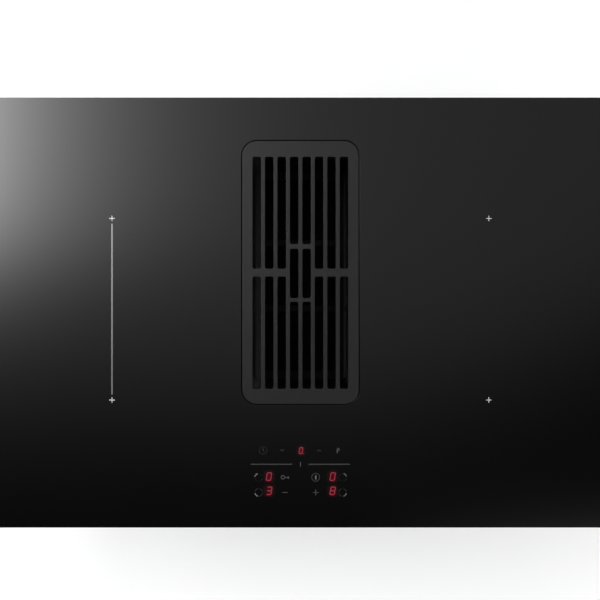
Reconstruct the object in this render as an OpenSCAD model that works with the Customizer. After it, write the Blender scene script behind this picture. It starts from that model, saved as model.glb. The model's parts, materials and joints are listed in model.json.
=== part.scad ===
// Built-in induction hob with a central downdraft extractor.
// Millimetres. Origin: under the middle of the glass, at the height of the suction box floor.
// +X to the cook's right, +Y towards the rear of the worktop, +Z up.

/* [Glass top] */
// Width of the glass plate
glass_w = 780; // [770:1:940]
// Depth of the glass plate, front to rear
glass_d = 520; // [515:1:630]
// Thickness of the glass plate
glass_t = 4; // [3:0.5:6]
// Radius of the glass corners
glass_r = 5; // [1:0.5:12]
// Ground chamfer on the top and bottom edges of the glass
glass_edge = 0.6; // [0.2:0.1:1]

/* [Fit in the worktop] */
// Overlap of the glass past the cut-out, on each side
rim = 15; // [12:0.5:20]
// Free gap between the cut-out and the steel pan, on each side
cut_clear = 4; // [2:0.5:6]
// Depth of the whole unit under the worktop surface
drop = 210; // [205:1:260]
// Thickness of the foam tape between the glass and the worktop
seal_t = 2; // [1:0.5:3]
// Width of the foam tape
seal_w = 9; // [6:0.5:10]

/* [Grille] */
// Width of the cast grille
grille_w = 141; // [120:1:150]
// Depth of the cast grille, front to rear
grille_d = 318; // [280:1:330]
// Distance from the rear edge of the glass to the grille
grille_rear = 52.5; // [48:0.5:70]
// Height of the cast grille
grille_h = 16; // [12:0.5:20]
// How far the grille stands above the glass
grille_proud = 1; // [0.5:0.1:2]
// Corner radius of the grille
grille_r = 18; // [8:1:24]
// Gap all round between grille and glass
grille_gap = 1; // [0.6:0.1:2]
// Number of slot columns
slot_columns = 8; // [8:2:8]
// Width of one slot
slot_w = 10.2; // [8:0.1:12]
// Width of the bar between two slots
bar_w = 4.85; // [4:0.05:5.5]
// Solid border at the front and rear ends of the slots
end_border = 18.9; // [16:0.1:24]
// Width of the cross bar in the outer columns
cross_bar = 9.7; // [7:0.1:14]
// Width of the two cross bars in the centre columns
centre_bar = 5.6; // [4:0.1:8]
// Distance of the centre cross bars from the middle of the grille
centre_bar_off = 32.2; // [24:0.1:40]
// Thickness of the rubber pads under the grille
pad_t = 1.5; // [1:0.5:3]

/* [Grease filter and drip tray] */
// Depth of the filter basket under its rim
filter_h = 116; // [90:1:125]
// Sheet thickness of the filter basket
filter_t = 1.5; // [1:0.1:2]
// Play between the basket and its shaft, on each side
filter_play = 0.7; // [0.5:0.1:1.5]
// Height of the drip tray
tray_h = 25; // [18:1:35]
// Wall of the drip tray
tray_wall = 2; // [1.5:0.1:3]

/* [Cooking zones] */
// Distance from the side edge of the glass to the zone centres
zone_edge = 162; // [155:1:175]
// Distance between the front and the rear zone centres
zone_pitch = 220; // [216:1:240]
// Offset of the zones' middle line to the rear
zone_mid_y = 4; // [-5:0.5:8]
// Side of the square coils that form the bridged zone
square_coil = 206; // [170:1:210]
// Diameter of the round coils
round_coil = 200; // [160:1:210]

/* [Suction box and duct] */
// Width of the box to the left of the middle
box_left = 92; // [88:1:105]
// Width of the box to the right of the middle
box_right = 308; // [300:1:320]
// Wall thickness of the box
box_wall = 2.5; // [2:0.1:3.5]
// Inside width of the duct outlet
duct_w = 222; // [180:1:226]
// Inside height of the duct outlet
duct_h = 89; // [74:1:107]
// Wall thickness of the scroll housing
scroll_wall = 2.5; // [2:0.1:3]
// Radius of the impeller
impeller_r = 76; // [64:0.5:78]
// Number of impeller blades
blades = 36; // [24:1:42]

/* [Hidden] */
$fn = 48;
e = 0.01;

// Heights of the glass
z_seat = drop;
z_glass = z_seat + seal_t;
z_top = z_glass + glass_t;

// Frame bonded under the glass, and the pan that hangs on it
bead_t = 1;
bead_w = 12;
frame_t = 1;
frame_w = 14;
frame_h = 20;
pan_t = 1;
pan_depth = 58;
pan_r = 8;
pan_fit = 0.3;
pan_w = glass_w - 2 * rim - 2 * cut_clear;
pan_d = glass_d - 2 * rim - 2 * cut_clear;
z_bead = z_glass - bead_t;
z_pan = z_glass - pan_depth;
z_floor = z_pan + pan_t;
frame_ow = pan_w - 2 * pan_t - 2 * pan_fit;
frame_od = pan_d - 2 * pan_t - 2 * pan_fit;
pan_screw_r = 1.9;
pan_screw_y = 95;
z_pan_screw = z_bead - frame_h / 2;

// Grille and the collar that it drops into
grille_y = glass_d / 2 - grille_rear - grille_d / 2;
slot_pitch = slot_w + bar_w;
slot_len = grille_d - 2 * end_border;
slot_r = 2.3;
hole_w = grille_w + 2 * grille_gap;
hole_d = grille_d + 2 * grille_gap;
hole_r = grille_r + grille_gap;
z_grille = z_top + grille_proud - grille_h;
z_ledge = z_grille - pad_t;
collar_wall = 2.5;
collar_flange = 12;
collar_flange_t = 1.5;
gasket_t = 1;
ledge_w = 4;
rim_pocket = 7.5;
z_filter = z_ledge - rim_pocket;
z_collar = z_pan - 8;
pocket_w = hole_w - 2 * ledge_w;
pocket_d = hole_d - 2 * ledge_w;
rim_w = 4.5;
end_rim_w = 12.7;
basket_w = pocket_w - 2 * rim_w;
basket_d = pocket_d - 2 * end_rim_w;
shaft_w = basket_w + 2 * filter_play;
shaft_d = basket_d + 2 * filter_play;
shaft_r = 8;
throat_ow = shaft_w + 2 * collar_wall;
throat_od = shaft_d + 2 * collar_wall;
throat_gap = 1.5;

// Filter basket and drip tray
filter_rim_t = 2;
z_basket = z_filter + filter_rim_t - filter_h;
mesh_w = 82;
mesh_h = 52;
mesh_rib = 8;
mesh_sill = 8;
mesh_rows = [for (i = [-1:1]) i * (mesh_w + mesh_rib)];
tray_rest = 5;
tray_w = basket_w - 6;
tray_d = basket_d - 8;

// Suction box, its cover and the rim that is screwed up to the pan
cover_t = 2.5;
foam_t = 2;
lip = 10;
lip_t = 2.5;
box_r = 12;
box_ahead = 178.5;
box_behind = 179.5;
box_front = grille_y - box_ahead;
box_rear = grille_y + box_behind;
box_w = box_left + box_right;
box_d = box_rear - box_front;
box_x = (box_right - box_left) / 2;
box_y = (box_rear + box_front) / 2;
z_foam = z_pan - foam_t;
z_cover = z_foam - cover_t;
box_screw_r = 2;
box_screw_head = 3;
box_rib = 3;
box_rib_pitch = 60;
box_rib_side = 32;
box_rib_front = 50;

// Duct outlet
spigot_wall = 2;
spigot_flange = 12;
spigot_flange_t = 3;
spigot_end = glass_d / 2 - 5;
duct_foam = 1.5;
duct_raise = 0.5;

// Blower
scroll_r1 = 104;
scroll_r0 = 92;
tongue = 70;
fan_x = box_right - box_r - spigot_flange - scroll_r1;
fan_back = 192;
fan_y = box_rear - fan_back;
z_duct = (z_cover - lip_t - duct_h) / 2 + duct_raise;
z_scroll = z_duct - scroll_wall;
z_scroll_lid = z_duct + duct_h;
duct_x = fan_x + scroll_r1 - duct_w / 2;
inlet_r = impeller_r - 16;
inlet_wall = 2.5;
lid_hole_r = impeller_r + 4;
impeller_h = 68;
z_impeller = z_duct + 8.5;
z_impeller_top = z_impeller + impeller_h;
blade_t = 1.2;
blade_r0 = impeller_r - 12;
grommet_r = 5;
grommet_t = 3;
grommet_ring = scroll_r0 - 5.5;
grommet_angles = [tongue + 30 : 80 : tongue + 270];
z_motor_plate = z_scroll_lid + scroll_wall + grommet_t;
motor_plate_t = 2;
screw_gap = 0.05;

// Motor with an outer rotor, hung under its plate
shaft_radius = 4;
bearing_r = 11;
bearing_w = 7;
bearing_play = 0.05;
can_r = 43;
can_t = 2;
magnet_r = 39.2;
stator_r = 38.4;
core_h = 20;
z_can = z_impeller_top - 30;
z_core = z_can + 13;
can_h = 35;
teeth = 12;
cup_wall = 3;

// Cooling fans
fan_size = 80;
fan_h = 25;
fan_wall_r = 38;
fan_hub_r = 16;
fan_blade_r = 36.8;
fan_blades = 7;
fan_front = -pan_d / 2 + 5 + fan_size / 2;
pin_r = 1.5;
pin_play = 0.05;

// Power electronics
carrier_w = 170;
carrier_l = 250;
carrier_t = 2;
carrier_foot = 4;
post_h = 5;
post_r = 4;
board_t = 1.6;
z_carrier = z_floor + carrier_foot;
z_board = z_carrier + carrier_t + post_h;
board_y = fan_front + fan_size / 2 + 6 + carrier_l / 2;
board_w = carrier_w - 10;
board_l = carrier_l - 10;
sink_w = 60;
sink_l = 200;
sink_base = 4;
fin_h = 19;
fins = 9;
fin_t = 1.6;

// Coils, from the glass down
mica_t = 1;
winding_h = 5.5;
former_t = 4;
ferrite_h = 4.5;
plate_t = 1.5;
z_winding = z_glass - mica_t - winding_h;
z_former = z_winding - former_t;
z_ferrite = z_former - ferrite_h;
z_plate = z_ferrite - plate_t;
eye_r = 25;
sensor_r = 6;
zone_rows = [zone_mid_y - zone_pitch / 2, zone_mid_y + zone_pitch / 2];
plate_w = square_coil + 4;
plate_l = zone_pitch + square_coil + 6;
spring_w = 10;
spring_t = 0.8;

// Touch controls
controls_w = 144;
controls_d = 84;
controls_y = -glass_d / 2 + 66;
z_touch = z_glass - 2.4 - board_t;
tray_floor = 12;
key_r = 4;
row_top = -glass_d / 2 + 93.3;
row_mid = -glass_d / 2 + 61;
row_low = -glass_d / 2 + 42.5;
key_places = [
  [-44.6, row_top], [-22.3, row_top], [22.3, row_top], [45.5, row_top],
  [-18.5, row_mid], [18.4, row_mid], [-18.5, row_low], [18.4, row_low],
  [-53, row_mid], [53, row_mid], [-53, row_low], [53, row_low]
];
display_places = [
  [0.5, row_top], [-38, row_mid], [38.8, row_mid], [-38, row_low], [38.8, row_low]
];

// Mains terminal under the rear left of the pan
term_w = 96;
term_d = 70;
term_h = 36;
term_t = 2;
term_x = -285;
term_y = pan_d / 2 - 5 - term_d / 2;
gland_r = 6.5;
gland_body_r = 9.5;
gland_hex_r = 13;
z_gland = z_pan - term_h / 2;
gland_end = term_y + term_d / 2 + 19;

// Driver electronics of the blower
driver_w = 110;
driver_d = 150;
driver_h = 38;
driver_x = -box_left - lip - 8 - driver_w / 2;
driver_ahead = 33.5;
driver_y = grille_y - driver_ahead;

// Worktop clamps on the side walls of the pan
clamp_w = 30;
clamp_h = 44;
clamp_t = 1.5;
clamp_reach = 16;
clamp_y = 150;
clamp_screw_r = 2.5;
z_clamp = z_bead - 8 - clamp_h;

// ---------- outlines shared by several pieces ----------

function corner(cx, cy, r, a0, n) =
  [for (i = [0:n]) [cx + r * cos(a0 + 90 * i / n), cy + r * sin(a0 + 90 * i / n)]];

function round_rect(w, d, r, n = 8) = concat(
  corner(w / 2 - r, d / 2 - r, r, 0, n),
  corner(r - w / 2, d / 2 - r, r, 90, n),
  corner(r - w / 2, r - d / 2, r, 180, n),
  corner(w / 2 - r, r - d / 2, r, 270, n)
);

module slab(w, d, h, r) {
  linear_extrude(h) polygon(round_rect(w, d, r));
}

// A rectangular ring: outer size, inner size and both corner radii
module ring(ow, od, outer_r, iw, id, inner_r, h) {
  linear_extrude(h) difference() {
    polygon(round_rect(ow, od, outer_r));
    polygon(round_rect(iw, id, inner_r));
  }
}

module tube(r_out, r_in, h) {
  difference() {
    cylinder(r = r_out, h = h);
    translate([0, 0, -1]) cylinder(r = r_in, h = h + 2);
  }
}

module block(w, d, h) {
  translate([-w / 2, -d / 2, 0]) cube([w, d, h]);
}

// A pan-head screw that points down, its head on z = 0
module screw(r, len, head_r, head_h) {
  difference() {
    union() {
      cylinder(r = head_r, h = head_h);
      translate([0, 0, -len]) cylinder(r = r, h = len + e);
    }
    translate([0, 0, head_h * 0.45]) block(head_r * 1.2, 0.9, head_h);
    translate([0, 0, head_h * 0.45]) block(0.9, head_r * 1.2, head_h);
  }
}

module at_fan() {
  translate([fan_x, fan_y, 0]) children();
}

module both_sides() {
  for (s = [-1, 1]) translate([s * (glass_w / 2 - zone_edge), 0, 0]) children();
}

module side(s) {
  translate([s * (glass_w / 2 - zone_edge), 0, 0]) children();
}

// ---------- glass, its tape and its frame ----------

module glass_outline() {
  intersection() {
    slab(glass_w, glass_d, glass_t, glass_r);
    rotate([90, 0, 90]) translate([0, 0, -glass_w / 2]) linear_extrude(glass_w)
      polygon(bevel_section(glass_d));
    rotate([90, 0, 0]) translate([0, 0, -glass_d / 2]) linear_extrude(glass_d)
      polygon(bevel_section(glass_w));
  }
}

function bevel_section(w) = [
  [-w / 2 + glass_edge, 0], [w / 2 - glass_edge, 0], [w / 2, glass_edge],
  [w / 2, glass_t - glass_edge], [w / 2 - glass_edge, glass_t],
  [-w / 2 + glass_edge, glass_t], [-w / 2, glass_t - glass_edge], [-w / 2, glass_edge]
];

module glass_top() {
  color("#0c0c0d") translate([0, 0, z_glass]) difference() {
    glass_outline();
    translate([0, grille_y, -1]) slab(hole_w, hole_d, glass_t + 2, hole_r);
  }
}

module glass_seal() {
  color("#2a2a2a") translate([0, 0, z_seat])
    ring(glass_w - 6, glass_d - 6, 4, glass_w - 6 - 2 * seal_w, glass_d - 6 - 2 * seal_w, 3, seal_t);
}

module bond_bead() {
  ow = frame_ow - 4;
  od = frame_od - 4;
  color("#151515") translate([0, 0, z_bead])
    ring(ow, od, pan_r - 3, ow - 2 * bead_w, od - 2 * bead_w, 2, bead_t);
}

// Places of the screws that hold the pan to the frame: x, y and the outward direction
function pan_screw_places() = concat(
  [for (s = [-1, 1], x = [-1, -1 / 3, 1 / 3, 1]) [x * pan_w / 3, s * pan_d / 2, s * 90]],
  [for (s = [-1, 1], y = [-1, 1]) [s * pan_w / 2, y * pan_screw_y, s > 0 ? 0 : 180]]
);

module pan_screw_holes(r) {
  for (p = pan_screw_places())
    translate([p[0], p[1], z_pan_screw]) rotate([0, 0, p[2]]) rotate([0, 90, 0])
      translate([0, 0, -8]) cylinder(r = r, h = 16);
}

module glass_frame() {
  color("#b9bcbf") difference() {
    union() {
      translate([0, 0, z_bead - frame_t])
        ring(frame_ow, frame_od, pan_r - 1, frame_ow - 2 * frame_w, frame_od - 2 * frame_w, 4, frame_t);
      translate([0, 0, z_bead - frame_h])
        ring(frame_ow, frame_od, pan_r - 1,
          frame_ow - 2 * frame_t, frame_od - 2 * frame_t, pan_r - 2, frame_h);
    }
    pan_screw_holes(pan_screw_r);
    clamp_holes();
  }
}

// ---------- grille, collar, filter and drip tray ----------

module grille_slots() {
  n = slot_columns;
  half = slot_len / 2;
  for (i = [0:n - 1]) {
    x = (i - (n - 1) / 2) * slot_pitch;
    centre = i == n / 2 - 1 || i == n / 2;
    outer_len = half - cross_bar / 2;
    tip_len = half - centre_bar_off - centre_bar / 2;
    mid_len = 2 * centre_bar_off - centre_bar;
    if (centre) {
      translate([x, 0]) polygon(round_rect(slot_w, mid_len, slot_r, 5));
      for (s = [-1, 1])
        translate([x, s * (half - tip_len / 2)]) polygon(round_rect(slot_w, tip_len, slot_r, 5));
    } else {
      for (s = [-1, 1])
        translate([x, s * (half - outer_len / 2)]) polygon(round_rect(slot_w, outer_len, slot_r, 5));
    }
  }
}

module grille() {
  color("#2f3031") translate([0, grille_y, z_grille]) linear_extrude(grille_h) difference() {
    polygon(round_rect(grille_w, grille_d, grille_r, 12));
    grille_slots();
  }
}

module grille_pads() {
  pad_l = 22;
  pad_w = 2.4;
  color("#1b1b1b") for (s = [-1, 1], y = [-grille_d / 3, 0, grille_d / 3])
    translate([s * (grille_w / 2 - pad_w / 2 - 0.6), grille_y + y, z_ledge])
      block(pad_w, pad_l, pad_t);
}

module inlet_collar() {
  flange_w = hole_w + 2 * (collar_wall + collar_flange);
  flange_d = hole_d + 2 * (collar_wall + collar_flange);
  z_flange_top = z_glass - gasket_t;
  color("#1d1d1e") translate([0, grille_y, 0]) {
    translate([0, 0, z_flange_top - collar_flange_t])
      ring(flange_w, flange_d, hole_r + 8, hole_w, hole_d, hole_r, collar_flange_t);
    translate([0, 0, z_ledge - collar_wall])
      ring(hole_w + 2 * collar_wall, hole_d + 2 * collar_wall, hole_r + collar_wall,
           hole_w, hole_d, hole_r, z_flange_top - z_ledge + collar_wall - e);
    translate([0, 0, z_ledge - collar_wall])
      ring(hole_w + e, hole_d + e, hole_r, pocket_w, pocket_d, hole_r - ledge_w, collar_wall);
    translate([0, 0, z_filter - collar_wall])
      ring(pocket_w + 2 * collar_wall, pocket_d + 2 * collar_wall, hole_r - ledge_w + collar_wall,
           pocket_w, pocket_d, hole_r - ledge_w, rim_pocket);
    translate([0, 0, z_filter - collar_wall])
      ring(pocket_w + e, pocket_d + e, hole_r - ledge_w, shaft_w, shaft_d, shaft_r, collar_wall);
    translate([0, 0, z_collar])
      ring(throat_ow, throat_od, shaft_r + collar_wall, shaft_w, shaft_d, shaft_r, z_filter - z_collar);
  }
}

module collar_gasket() {
  color("#101010") translate([0, grille_y, z_glass - gasket_t])
    ring(hole_w + 24, hole_d + 24, hole_r + 6, hole_w + 4, hole_d + 4, hole_r + 2, gasket_t);
}

module filter_frame() {
  inner_w = basket_w - 2 * filter_t;
  inner_d = basket_d - 2 * filter_t;
  floor_w = inner_w - 16;
  z_rim = z_filter;
  color("#232324") translate([0, grille_y, 0]) difference() {
    union() {
      translate([0, 0, z_rim])
        ring(pocket_w - 1, pocket_d - 1, hole_r - ledge_w - 0.5, inner_w, inner_d, shaft_r - 2, filter_rim_t);
      translate([0, 0, z_basket])
        ring(basket_w, basket_d, shaft_r - 1, inner_w, inner_d, shaft_r - 2, filter_h - filter_rim_t + e);
      translate([0, 0, z_basket])
        slab(basket_w, basket_d, filter_t, shaft_r - 1);
    }
    for (y = mesh_rows) {
      translate([0, y, z_basket + mesh_sill]) block(basket_w + 2, mesh_w, mesh_h);
      translate([0, y, z_basket - 1]) block(floor_w, mesh_w, filter_t + 2);
    }
    translate([0, 0, z_filter - 26]) block(44, basket_d + 2, 15);
  }
}

module filter_mesh() {
  floor_w = basket_w - 2 * filter_t - 16;
  color("#3a3b3c") translate([0, grille_y, 0]) for (y = mesh_rows) {
    for (s = [-1, 1])
      translate([s * (basket_w - filter_t) / 2, y, z_basket + mesh_sill]) block(filter_t, mesh_w, mesh_h);
    translate([0, y, z_basket]) block(floor_w, mesh_w, filter_t);
  }
}

module drip_tray() {
  bridge_w = 14;
  color("#2b2c2e") translate([0, grille_y, tray_rest]) {
    difference() {
      slab(tray_w, tray_d, tray_h, shaft_r);
      translate([0, 0, tray_wall])
        slab(tray_w - 2 * tray_wall, tray_d - 2 * tray_wall, tray_h, shaft_r - tray_wall);
    }
    translate([0, 0, tray_h - 4]) block(tray_w - tray_wall, bridge_w, 4);
  }
}

// ---------- suction box ----------

// Places of the rim screws of the suction box
function box_screw_places() = concat(
  [for (x = [-1, 0, 1], s = [-1, 1])
    [box_x + x * (box_w / 2 - 20), box_y + s * (box_d / 2 + lip / 2)]],
  [for (s = [-1, 1]) [box_x + s * (box_w / 2 + lip / 2), box_y]]
);

module box_screw_holes(r) {
  for (p = box_screw_places())
    translate([p[0], p[1], z_cover - 20]) cylinder(r = r, h = 60);
}

module duct_window(extra) {
  translate([duct_x, box_rear - 20, z_duct + duct_h / 2]) rotate([-90, 0, 0])
    block(duct_w + 2 * extra, duct_h + 2 * extra, 40);
}

module suction_box() {
  color("#2c2d2f") difference() {
    union() {
      translate([box_x, box_y, 0]) difference() {
        slab(box_w, box_d, z_cover, box_r);
        translate([0, 0, box_wall])
          slab(box_w - 2 * box_wall, box_d - 2 * box_wall, z_cover, box_r - box_wall);
      }
      translate([box_x, box_y, z_cover - lip_t])
        ring(box_w + 2 * lip, box_d + 2 * lip, box_r + lip,
             box_w - box_wall, box_d - box_wall, box_r - 1, lip_t);
      // Posts under the scroll housing
      at_fan() for (a = [45:90:315]) rotate([0, 0, a])
        translate([impeller_r + 4, 0, box_wall - e]) cylinder(r = 5, h = z_scroll - box_wall + e);
      // Rests of the drip tray
      for (s = [-1, 1], y = [-1, 1])
        translate([s * (tray_w / 2 - 12), grille_y + y * (tray_d / 2 - 30), box_wall - e])
          block(6, 24, tray_rest - box_wall + e);
      // Stiffening ribs on the front, left and right walls
      for (i = [0:5])
        translate([-box_left + box_rib_side + i * box_rib_pitch, box_front - box_rib / 2, 0])
          block(box_rib, box_rib + e, z_cover - lip_t);
      for (s = [-1, 1], i = [0:4])
        translate([box_x + s * (box_w + box_rib) / 2, box_front + box_rib_front + i * box_rib_pitch, 0])
          block(box_rib + e, box_rib, z_cover - lip_t);
    }
    duct_window(0);
    box_screw_holes(box_screw_r + screw_gap);
  }
}

module suction_cover() {
  color("#3a3b3d") difference() {
    translate([box_x, box_y, z_cover]) slab(box_w + 2 * lip, box_d + 2 * lip, cover_t, box_r + lip);
    translate([0, grille_y, z_cover - 1])
      slab(throat_ow + 2 * throat_gap, throat_od + 2 * throat_gap, cover_t + 2, shaft_r + collar_wall + 1);
    box_screw_holes(box_screw_r + screw_gap);
  }
}

module box_gasket() {
  color("#141414") difference() {
    translate([box_x, box_y, z_foam])
      ring(box_w + 2 * lip, box_d + 2 * lip, box_r + lip, box_w, box_d, box_r, foam_t);
    box_screw_holes(box_screw_r + screw_gap);
  }
}

module housing_screws() {
  len = lip_t + cover_t + foam_t + pan_t + 3;
  color("silver") {
    for (p = box_screw_places())
      translate([p[0], p[1], z_cover - lip_t]) mirror([0, 0, 1])
        screw(box_screw_r, len, box_screw_r * 1.9, box_screw_head);
    at_fan() for (a = grommet_angles)
      rotate([0, 0, a]) translate([grommet_ring, 0, z_motor_plate + motor_plate_t])
        screw(box_screw_r, motor_plate_t + grommet_t + scroll_wall, box_screw_r * 1.9, box_screw_head);
  }
}

// ---------- blower ----------

// Outline of the scroll's air space grown by g: a spiral, then straight walls to the rear
function scroll_outline(g) = concat(
  [for (i = [0:48])
    let (a = tongue + i * (360 - tongue) / 48, r = scroll_r0 + (scroll_r1 - scroll_r0) * i / 48 + g)
    [r * cos(a), r * sin(a)]],
  [[scroll_r1 + g, box_rear - box_wall - fan_y],
   [scroll_r1 - duct_w - g, box_rear - box_wall - fan_y]]
);

module scroll_housing() {
  h = duct_h + scroll_wall;
  color("#37383a") at_fan() translate([0, 0, z_scroll]) difference() {
    linear_extrude(h) polygon(scroll_outline(scroll_wall));
    translate([0, 0, scroll_wall]) linear_extrude(h) polygon(scroll_outline(0));
    translate([scroll_r1 - duct_w / 2, box_rear - box_wall - fan_y, scroll_wall])
      block(duct_w, 2, duct_h + 2);
    translate([0, 0, -1]) cylinder(r = inlet_r + inlet_wall, h = scroll_wall + 2);
  }
}

module scroll_lid() {
  color("#3c3d40") at_fan() translate([0, 0, z_scroll_lid]) difference() {
    linear_extrude(scroll_wall) polygon(scroll_outline(scroll_wall));
    translate([0, 0, -1]) cylinder(r = lid_hole_r, h = scroll_wall + 2, $fn = 96);
    for (a = grommet_angles) rotate([0, 0, a]) translate([grommet_ring, 0, -1])
      cylinder(r = box_screw_r + screw_gap, h = scroll_wall + 2);
  }
}

module inlet_ring() {
  lip_r = inlet_r + inlet_wall;
  color("#2a2b2c") at_fan() translate([0, 0, z_scroll]) rotate_extrude($fn = 96) polygon([
    [inlet_r, -2.5], [lip_r + 8, -2.5], [lip_r + 8, 0], [lip_r, 0],
    [lip_r, z_impeller - z_scroll - 2], [inlet_r, z_impeller - z_scroll - 2]
  ]);
}

// One forward-curved blade in plan, from the inner to the outer radius
function blade_outline() =
  let (n = 6, lean = 18)
  concat(
    [for (i = [0:n]) let (r = blade_r0 + (impeller_r - 0.6 - blade_r0) * i / n, a = lean * pow(i / n, 2))
      [r * cos(a), r * sin(a)]],
    [for (i = [n:-1:0]) let (r = blade_r0 + (impeller_r - 0.6 - blade_r0) * i / n,
      a = lean * pow(i / n, 2) + blade_t / r * 57.3)
      [r * cos(a), r * sin(a)]]
  );

module impeller() {
  back_t = 2.5;
  color("#202124") at_fan() {
    translate([0, 0, z_impeller]) tube(impeller_r, impeller_r - 6, back_t, $fn = 96);
    translate([0, 0, z_impeller_top - back_t]) tube(impeller_r, can_r + cup_wall - e, back_t, $fn = 96);
    translate([0, 0, z_can - cup_wall])
      tube(can_r + cup_wall, can_r, z_impeller_top - z_can + cup_wall, $fn = 96);
    translate([0, 0, z_can - cup_wall]) tube(can_r + e, shaft_radius, cup_wall, $fn = 96);
    for (i = [0:blades - 1]) rotate([0, 0, i * 360 / blades])
      translate([0, 0, z_impeller + back_t / 2]) linear_extrude(impeller_h - back_t)
        polygon(blade_outline());
  }
}

module motor_rotor() {
  color("#8d9094") at_fan() {
    translate([0, 0, z_can]) tube(can_r, can_r - can_t, can_h, $fn = 96);
    translate([0, 0, z_can]) tube(can_r - can_t + e, shaft_radius, can_t, $fn = 96);
    translate([0, 0, z_core - 3]) tube(can_r - can_t + e, magnet_r, core_h + 6, $fn = 96);
  }
}

module motor_shaft() {
  color("#c9ccd0") at_fan() translate([0, 0, z_can - cup_wall])
    cylinder(r = shaft_radius, h = z_motor_plate - z_can + cup_wall - 1);
}

module motor_stator() {
  hub_r = bearing_r + 9;
  color("#5c6066") at_fan() translate([0, 0, z_core]) {
    tube(hub_r, bearing_r + 3, core_h);
    difference() {
      tube(stator_r, stator_r - 3.4, core_h, $fn = 96);
      for (i = [0:teeth - 1]) rotate([0, 0, (i + 0.5) * 360 / teeth])
        translate([stator_r - 2, 0, -1]) block(8, 3, core_h + 2);
    }
    for (i = [0:teeth - 1]) rotate([0, 0, i * 360 / teeth])
      translate([(hub_r + stator_r) / 2 - 2, 0, 0]) block(stator_r - hub_r, 3.5, core_h);
  }
}

module motor_windings() {
  r0 = bearing_r + 12;
  r1 = stator_r - 4;
  color("#b8692f") at_fan() for (i = [0:teeth - 1]) rotate([0, 0, i * 360 / teeth])
    translate([(r0 + r1) / 2, 0, z_core - 4]) difference() {
      block(r1 - r0, 9, core_h + 8);
      translate([0, 0, 4]) block(r1 - r0 + 2, 3.5, core_h);
    }
}

module motor_bearings() {
  color("#d5d8db") at_fan() for (z = [z_core - 7, z_motor_plate - bearing_w - 4])
    translate([0, 0, z]) rotate_extrude() polygon([
      [shaft_radius + bearing_play, 0], [bearing_r, 0], [bearing_r, bearing_w],
      [8.6, bearing_w], [8.6, bearing_w - 0.6], [6.4, bearing_w - 0.6], [6.4, bearing_w],
      [shaft_radius + bearing_play, bearing_w]
    ]);
}

module motor_plate() {
  tube_z = z_core - 8;
  color("#c4c7ca") at_fan() {
    difference() {
      translate([0, 0, z_motor_plate]) cylinder(r = grommet_ring + 8, h = motor_plate_t, $fn = 96);
      for (a = grommet_angles) rotate([0, 0, a]) translate([grommet_ring, 0, z_motor_plate - 1])
        cylinder(r = box_screw_r + screw_gap, h = motor_plate_t + 2);
    }
    translate([0, 0, tube_z]) tube(bearing_r + 3, bearing_r, z_motor_plate - tube_z + e);
  }
}

module motor_grommets() {
  color("#1a1a1a") at_fan() for (a = grommet_angles) rotate([0, 0, a])
    translate([grommet_ring, 0, z_motor_plate - grommet_t]) rotate_extrude() polygon([
      [box_screw_r + screw_gap, 0], [grommet_r, 0], [grommet_r, 0.8], [grommet_r - 0.8, 1.5],
      [grommet_r, 2.2], [grommet_r, grommet_t], [box_screw_r + screw_gap, grommet_t]
    ]);
}

// ---------- duct outlet ----------

module duct_ring(outer, inner, len) {
  rotate([-90, 0, 0]) difference() {
    block(duct_w + 2 * outer, duct_h + 2 * outer, len);
    translate([0, 0, -1]) block(duct_w + 2 * inner, duct_h + 2 * inner, len + 2);
  }
}

module outlet_gasket() {
  color("#151515") translate([duct_x, box_rear, z_duct + duct_h / 2]) duct_ring(8, 0, duct_foam);
}

module outlet_spigot() {
  y0 = box_rear + duct_foam;
  color("#3a3b3d") translate([duct_x, y0, z_duct + duct_h / 2]) {
    duct_ring(spigot_flange, 0, spigot_flange_t);
    duct_ring(spigot_wall, 0, spigot_end - y0);
    translate([0, spigot_end - y0 - 6, 0]) duct_ring(spigot_wall + 1, 0, 3);
  }
}

// ---------- driver box of the blower ----------

module driver_box() {
  wall = 2;
  color("#26272a") translate([driver_x, driver_y, z_pan - driver_h]) {
    difference() {
      slab(driver_w, driver_d, driver_h, 5);
      translate([0, 0, wall]) slab(driver_w - 2 * wall, driver_d - 2 * wall, driver_h, 3);
      for (y = [-50:10:50]) translate([-driver_w / 2, y, driver_h - 16]) block(6, 4, 8);
    }
    for (x = [-1, 1], y = [-1, 1])
      translate([x * (driver_w / 2 - 14), y * (driver_d / 2 - 14), wall - e]) cylinder(r = 4, h = 6);
  }
}

module driver_board() {
  color("#2f6b45") translate([driver_x, driver_y, z_pan - driver_h + 8 - e]) {
    block(driver_w - 12, driver_d - 12, board_t);
    for (y = [-40, 0, 40]) translate([20, y, board_t - e]) cylinder(r = 8, h = 18);
    translate([-22, 0, board_t - e]) block(20, 90, 14);
  }
}

// ---------- steel pan ----------

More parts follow.
